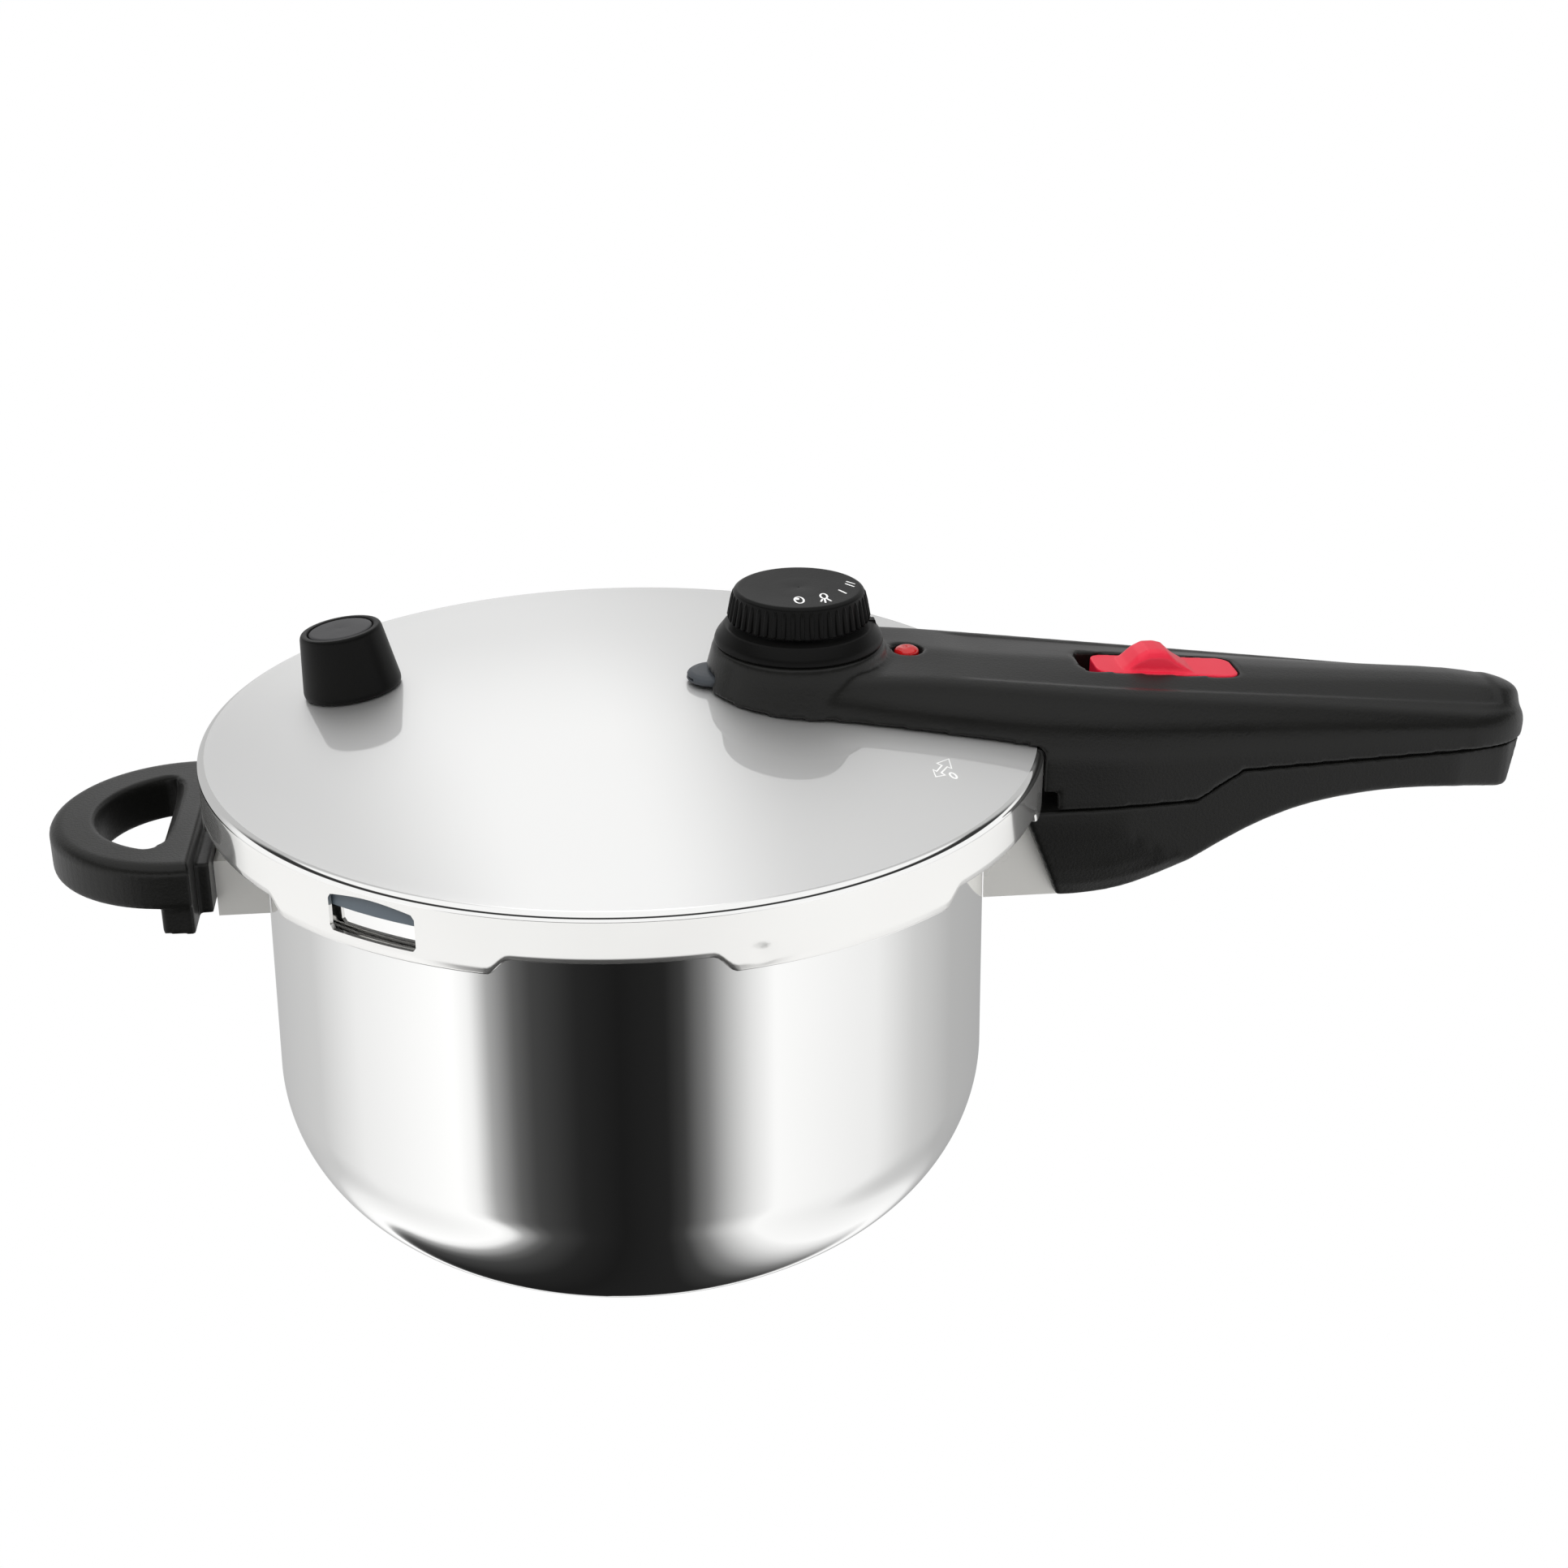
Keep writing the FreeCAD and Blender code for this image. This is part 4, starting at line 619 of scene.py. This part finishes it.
white_ink = surface("ink white", "#ffffff", "#f4f4f2", 0.5, 0.02, 0.3, 0.002)
marks = [
    oval(52.0, -11.5, 1.35, 2.8),
    oval(51.6, -10.4, 0.3, 0.6),
    oval(59.7, -8.8, 1.0, 2.2),
    ([(58.9, -11.6), (58.2, -13.7)], False),
    ([(59.6, -11.4), (59.5, -14.8)], False),
    ([(60.4, -11.2), (61.4, -13.6)], False),
    ([(64.9, -3.7), (66.8, -7.3)], False),
    ([(68.3, 3.7), (70.6, 0.9)], False),
    ([(67.7, 1.8), (70.0, -1.5)], False),
]
dial = printed("dial_marks", marks, lambda x, y: 196.52, 0.3)
shade(dial, white_ink, 60)
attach(dial, "selector")
arrow = [(91.4, -48.1), (87.3, -51.6), (88.6, -52.7), (86.3, -56.6), (85.4, -55.7), (85.5, -59.9), (88.5, -58.4),
         (87.6, -57.2), (90.0, -53.2), (91.2, -54.0)]
closing = printed("closing_mark", [(arrow, True), oval(90.9, -58.2, 0.85, 1.6, 0.25)], lid_height, 0.33)
shade(closing, white_ink, 60)
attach(closing, "lid")

# ---- pressure indicator --------------------------------------------------------------------------
# Glossy red button with a softly domed top on a thin rod that passes through the lid.
gloss_red = surface("plastic red glossy", "#c8171a", "#bb1216", 0.16, 0.03, 0.6, 0.002, coat=0.3)
button = turned("indicator_button", soften([
    (0, 151.1), (3.4, 151.1), (3.4, 153.1), (2, 153.1), (2, 164.4), (3.8, 164.4), (3.8, 175.2), (2.2, 176.25), (0, 176.3),
], 0.8), 64, (86.7, 0))
shade(button, gloss_red, 60)
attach(button, "indicator")
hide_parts("indicator_pin")

# ---- lock slider ---------------------------------------------------------------------------------
# Red slider: a sloping bed with rounded ends in the slot and a narrow thumb hump across its middle.
matt_red = surface("plastic red matt", "#e5203f", "#dc1a38", 0.42, 0.03, 0.45, 0.01)
bed = [(149.7, -7.9)] + arc((186.5, -3.7), 4.2, -90, 0, 6) + arc((186.5, 3.7), 4.2, 0, 90, 6)
bed += arc((149.7, 3.7), 4.2, 90, 180, 6) + arc((149.7, -3.7), 4.2, 180, 264, 6)
slider = prism("thumb_slider", bed, 159, 175)
foot = box("foot", (143.5, -7.9, 156.4), (193.2, 7.9, 159.7))
combine(slider, [foot], "UNION")
combine(slider, [prism("tool", [(130, 169.4), (200, 164.3), (200, 190), (130, 190)], -20, 20, "y")])
hump = [(152, 166), (174, 164), (176.4, 165.9), (171, 169.6), (167.5, 172.9), (165, 173.6), (161.5, 173.6), (158.5, 172),
        (155.5, 169), (152.8, 167.4)]
rings = []
for y, drop in ((-6.2, 2.2), (-5.2, 0.6), (-4, 0.1), (0, 0), (4, 0.1), (5.2, 0.6), (6.2, 2.2)):
    rings.append([(x, y, z - drop * max(0.0, (z - 166) / 7.6)) for x, z in hump])
combine(slider, [lofted("hump", rings)], "UNION")
moulded(slider, 0.36, 5)
shade(slider, matt_red, 80)
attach(slider, "lock")
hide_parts("lock_slider")

# ---- steam outlet --------------------------------------------------------------------------------
# Soft duck-bill at the housing's inner end, with a level slit.
rubber = surface("silicone dark grey", "#3d4146", "#34383c", 0.5, 0.04, 0.8, 0.01)
bill = [(30.9, -8.6), (30.9, 8.6)] + arc((27.2, 0), 8.2, 84, 276, 24)
spout = lofted("steam_outlet_bill", [
    [(x, y, z) for x, y in shrunk(bill, inset, (27, 0))]
    for z, inset in ((168.1, 1.2), (168.5, 0.3), (169.0, 0), (169.8, 0), (170.6, 0.5), (171.2, 1.5), (171.5, 3.2))
])
combine(spout, [box("tool", (15, -5, 169.2), (38, 5, 169.9))])
moulded(spout, 0.25, 3)
shade(spout, rubber, 80)
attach(spout, "lid")
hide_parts("steam_outlet")

# ---- safety valve --------------------------------------------------------------------------------
# Tapered black cap that leans with the dome, with a disc inset in its top behind a thin groove.
cap = turned("safety_valve_cap", soften([
    (13, 0.25), (14.9, 0.25), (15.1, 1.6), (12.6, 18.7), (12.1, 19.7), (10.2, 19.7), (10.1, 18.2), (0, 18.2), (0, 16.2),
    (5.9, 16.2), (5.9, 12.7), (7.9, 12.7), (7.9, 14), (9.7, 14),
], 0.6), 160, place=safe_place)
shade(cap, plastic, 45)
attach(cap, "lid")
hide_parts("safety_cap")
lens = turned("safety_valve_disc", soften([(0, 18.3), (9.75, 18.3), (9.75, 19.45), (9.1, 19.7), (0, 19.8)], 0.3), 128, place=safe_place)
grey_black = surface("plastic charcoal", "#2c2c2e", "#262628", 0.5, 0.03, 0.35, 0.02)
shade(lens, grey_black, 45)
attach(lens, "lid")
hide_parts("safety_disc")

# ---- screws --------------------------------------------------------------------------------------
# Zinc-plated pan-head screws with a cross recess: one under each outer handle, two under the lid, two in
# the plate that closes the grip.
zinc = surface("steel zinc plated", "#b9bab8", "#a5a6a2", 0.3, 0.05, 0.5, 0.003, metal=1.0)


def screw(name, head, thick, shank, length):
    """Screw pointing up from its head's lower face at the origin, with a cross recess."""
    made = turned(name, soften([
        (0, 0), (head * 0.7, 0), (head, thick * 0.5), (head, thick), (shank, thick), (shank, length), (0, length),
    ], 0.25), 48)
    arm = head * 0.55
    tools = [box("tool", (-arm, -0.16 * head, -1), (arm, 0.16 * head, thick * 0.55)),
             box("tool", (-0.16 * head, -arm, -1), (0.16 * head, arm, thick * 0.55))]
    return combine(made, tools)


for name, node, body, sizes, centre, offset, count in (
    ("handle_screw", "lower_handle_screw", "pot", (4.6, 2.5, 2.2, 24.2), (150, 0, 107.2), (0, 0, 0), 1),
    ("loop_screw", "helper_screw", "pot", (3.3, 2.4, 1.95, 14.5), (-133, 0, 110.9), (0, 0, 0), 1),
    ("dome_screws", "lid_screws", "lid", (4.4, 2.2, 1.95, 12.0), (104, -14, 154.5), (0, 28, 0), 2),
    ("plate_screw_pair", "plate_screws", "lid", (2.5, 0.8, 1.45, 9.4), (168.3, -8.5, 134.15), (0, 17, 0), 2),
):
    made = copies(name, screw("one", *sizes), zinc, count, 0, centre, offset)
    shade(made, zinc, 40)
    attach(made, body)
    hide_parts(node)

# ---- pieces kept from the CAD --------------------------------------------------------------------
# Turned, wound and punched metal and rubber inside the lid and the handle; their shapes are right.
gasket_grey = surface("silicone slate", "#5b666f", "#525c64", 0.42, 0.04, 1.0, 0.01)
brass = surface("brass turned", "#c9a85a", "#b8964a", 0.28, 0.05, 0.4, 0.003, metal=1.0)
spring_steel = surface("steel spring wire", "#9c9d9d", "#8b8c8c", 0.25, 0.04, 0.5, 0.002, metal=1.0)
aluminium = surface("aluminium plain", "#c4c5c6", "#b7b8b9", 0.4, 0.05, 0.6, 0.004, metal=1.0)
kept = {
    "gasket": gasket_grey, "valve_seal": gasket_grey, "safety_seal": gasket_grey,
    "valve_seat": brass, "valve_nut": brass, "safety_seat": zinc, "safety_nut": brass,
    "valve_plunger": brass, "safety_plunger": brass, "valve_spring": spring_steel, "safety_spring": spring_steel,
    "base_core": aluminium, "selector_stem": plastic, "selector_ring": spring_steel, "indicator_sleeve": rubber,
    "handle_plate": plastic, "lock_bar": zinc,
}
for name, material in kept.items():
    for slot_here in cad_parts[name].material_slots:
        slot_here.material = material

# ---- light, backdrop and camera ------------------------------------------------------------------
# White studio with no floor line. Seen in the steel, the room is bright at the sides, dark behind the
# camera below eye level, and a soft white ceiling above.
world = bpy.data.worlds.new("studio")
bpy.context.scene.world = world
world.use_nodes = True
tree = world.node_tree
tree.nodes.clear()
way = add(tree, "ShaderNodeSeparateXYZ", {0: add(tree, "ShaderNodeTexCoord").outputs["Generated"]}).outputs


def math_node(kind, first, second=0.0):
    """One step of arithmetic in the world's tree."""
    return add(tree, "ShaderNodeMath", {0: first, 1: second}, operation=kind).outputs[0]


def between(value, low, high, start=0.0, end=1.0):
    """Soft change from start to end as the value goes from low to high."""
    return add(tree, "ShaderNodeMapRange", {
        "Value": value, "From Min": low, "From Max": high, "To Min": start, "To Max": end,
    }, interpolation_type="SMOOTHSTEP").outputs[0]


def blend(share, first, second):
    """Mix of two greys."""
    return add(tree, "ShaderNodeMix", {0: share, 2: first, 3: second}, data_type="FLOAT").outputs[0]


around = math_node("ARCTAN2", way[0], math_node("MULTIPLY", way[1], -1.0))
steep = math_node("ADD", 1.3, math_node("MULTIPLY", 2.4, math_node("MULTIPLY", way[0], way[0])))
heading = blend(between(way[2], -0.6, -0.82), around, math_node("MULTIPLY", way[0], steep))
turn = add(tree, "ShaderNodeMapRange", {"Value": heading, "From Min": -math.pi, "From Max": math.pi}).outputs[0]
ramp = add(tree, "ShaderNodeValToRGB", {0: turn})
room = [(-180, 0.6), (-162, 0.53), (-121, 0.66), (-98, 0.95), (-60, 1.15), (-54, 1.0), (-48, 0.42), (-40, 0.13),
        (-34, 0.06), (-20, 0.021), (-7, 0.012), (7, 0.018), (13, 0.05), (20, 0.22), (27, 0.55), (34, 0.85), (42, 1.1),
        (80, 0.95), (98, 0.68), (121, 0.5), (162, 0.42), (180, 0.6)]
stops = ramp.color_ramp.elements
while len(stops) < len(room):
    stops.new(0.5)
for stop, (degrees, value) in zip(stops, room):
    stop.position = (degrees + 180) / 360
    stop.color = (value, value, value, 1)
low_room = ramp.outputs[0]
panel = math_node("ABSOLUTE", math_node("SUBTRACT", math_node("ADD", way[0], 0.094), math_node("MULTIPLY", way[2], 0.12)))
shine = math_node("MULTIPLY", between(panel, 0.05, 0.22, 1.0, 0.0), between(way[2], 0.12, 0.5, 0.4, 1.0))
window_wall = blend(shine, 0.57, 1.35)
gap = math_node("MULTIPLY", between(way[2], 0.3, 0.37), between(way[2], 0.7, 0.63))
camera_side = blend(gap, 1.05, 0.04)
high_room = blend(between(way[1], 0.4, 0.62), camera_side, window_wall)
seen = add(tree, "ShaderNodeCombineColor", {
    channel: blend(between(way[2], -0.4, -0.24), low_room, high_room) for channel in ("Red", "Green", "Blue")
}).outputs[0]
white = add(tree, "ShaderNodeMix", {
    0: add(tree, "ShaderNodeLightPath").outputs["Is Camera Ray"], 6: seen, 7: (1, 1, 1, 1),
}, data_type="RGBA").outputs[2]
add(tree, "ShaderNodeOutputWorld", {"Surface": add(tree, "ShaderNodeBackground", {"Color": white}).outputs[0]})

softbox = bpy.data.lights.new("softbox", "AREA")
softbox.shape = "RECTANGLE"
softbox.size, softbox.size_y = 0.7, 0.5
softbox.energy = 6
lamp = bpy.data.objects.new("softbox", softbox)
bpy.context.scene.collection.objects.link(lamp)
lamp.location = (-0.35, -0.5, 0.95)
lamp.rotation_euler = (Vector((0.05, 0, 0.15)) - lamp.location).to_track_quat("-Z", "Y").to_euler()
lamp.visible_glossy = False

lens_data = bpy.data.cameras.new("camera")
lens_data.lens = 51.76
lens_data.sensor_width = 36
camera = bpy.data.objects.new("camera", lens_data)
bpy.context.scene.collection.objects.link(camera)
right = Vector((0.99323, -0.11617, 0.00257))
up = Vector((0.04507, 0.40561, 0.91293))
forward = Vector((0.10710, 0.90663, -0.40810))
camera.matrix_world = Matrix.Translation((-0.02645, -0.63854, 0.41928)) @ Matrix((right, up, -forward)).transposed().to_4x4()
bpy.context.scene.camera = camera
bpy.context.scene.view_settings.view_transform = "Standard"
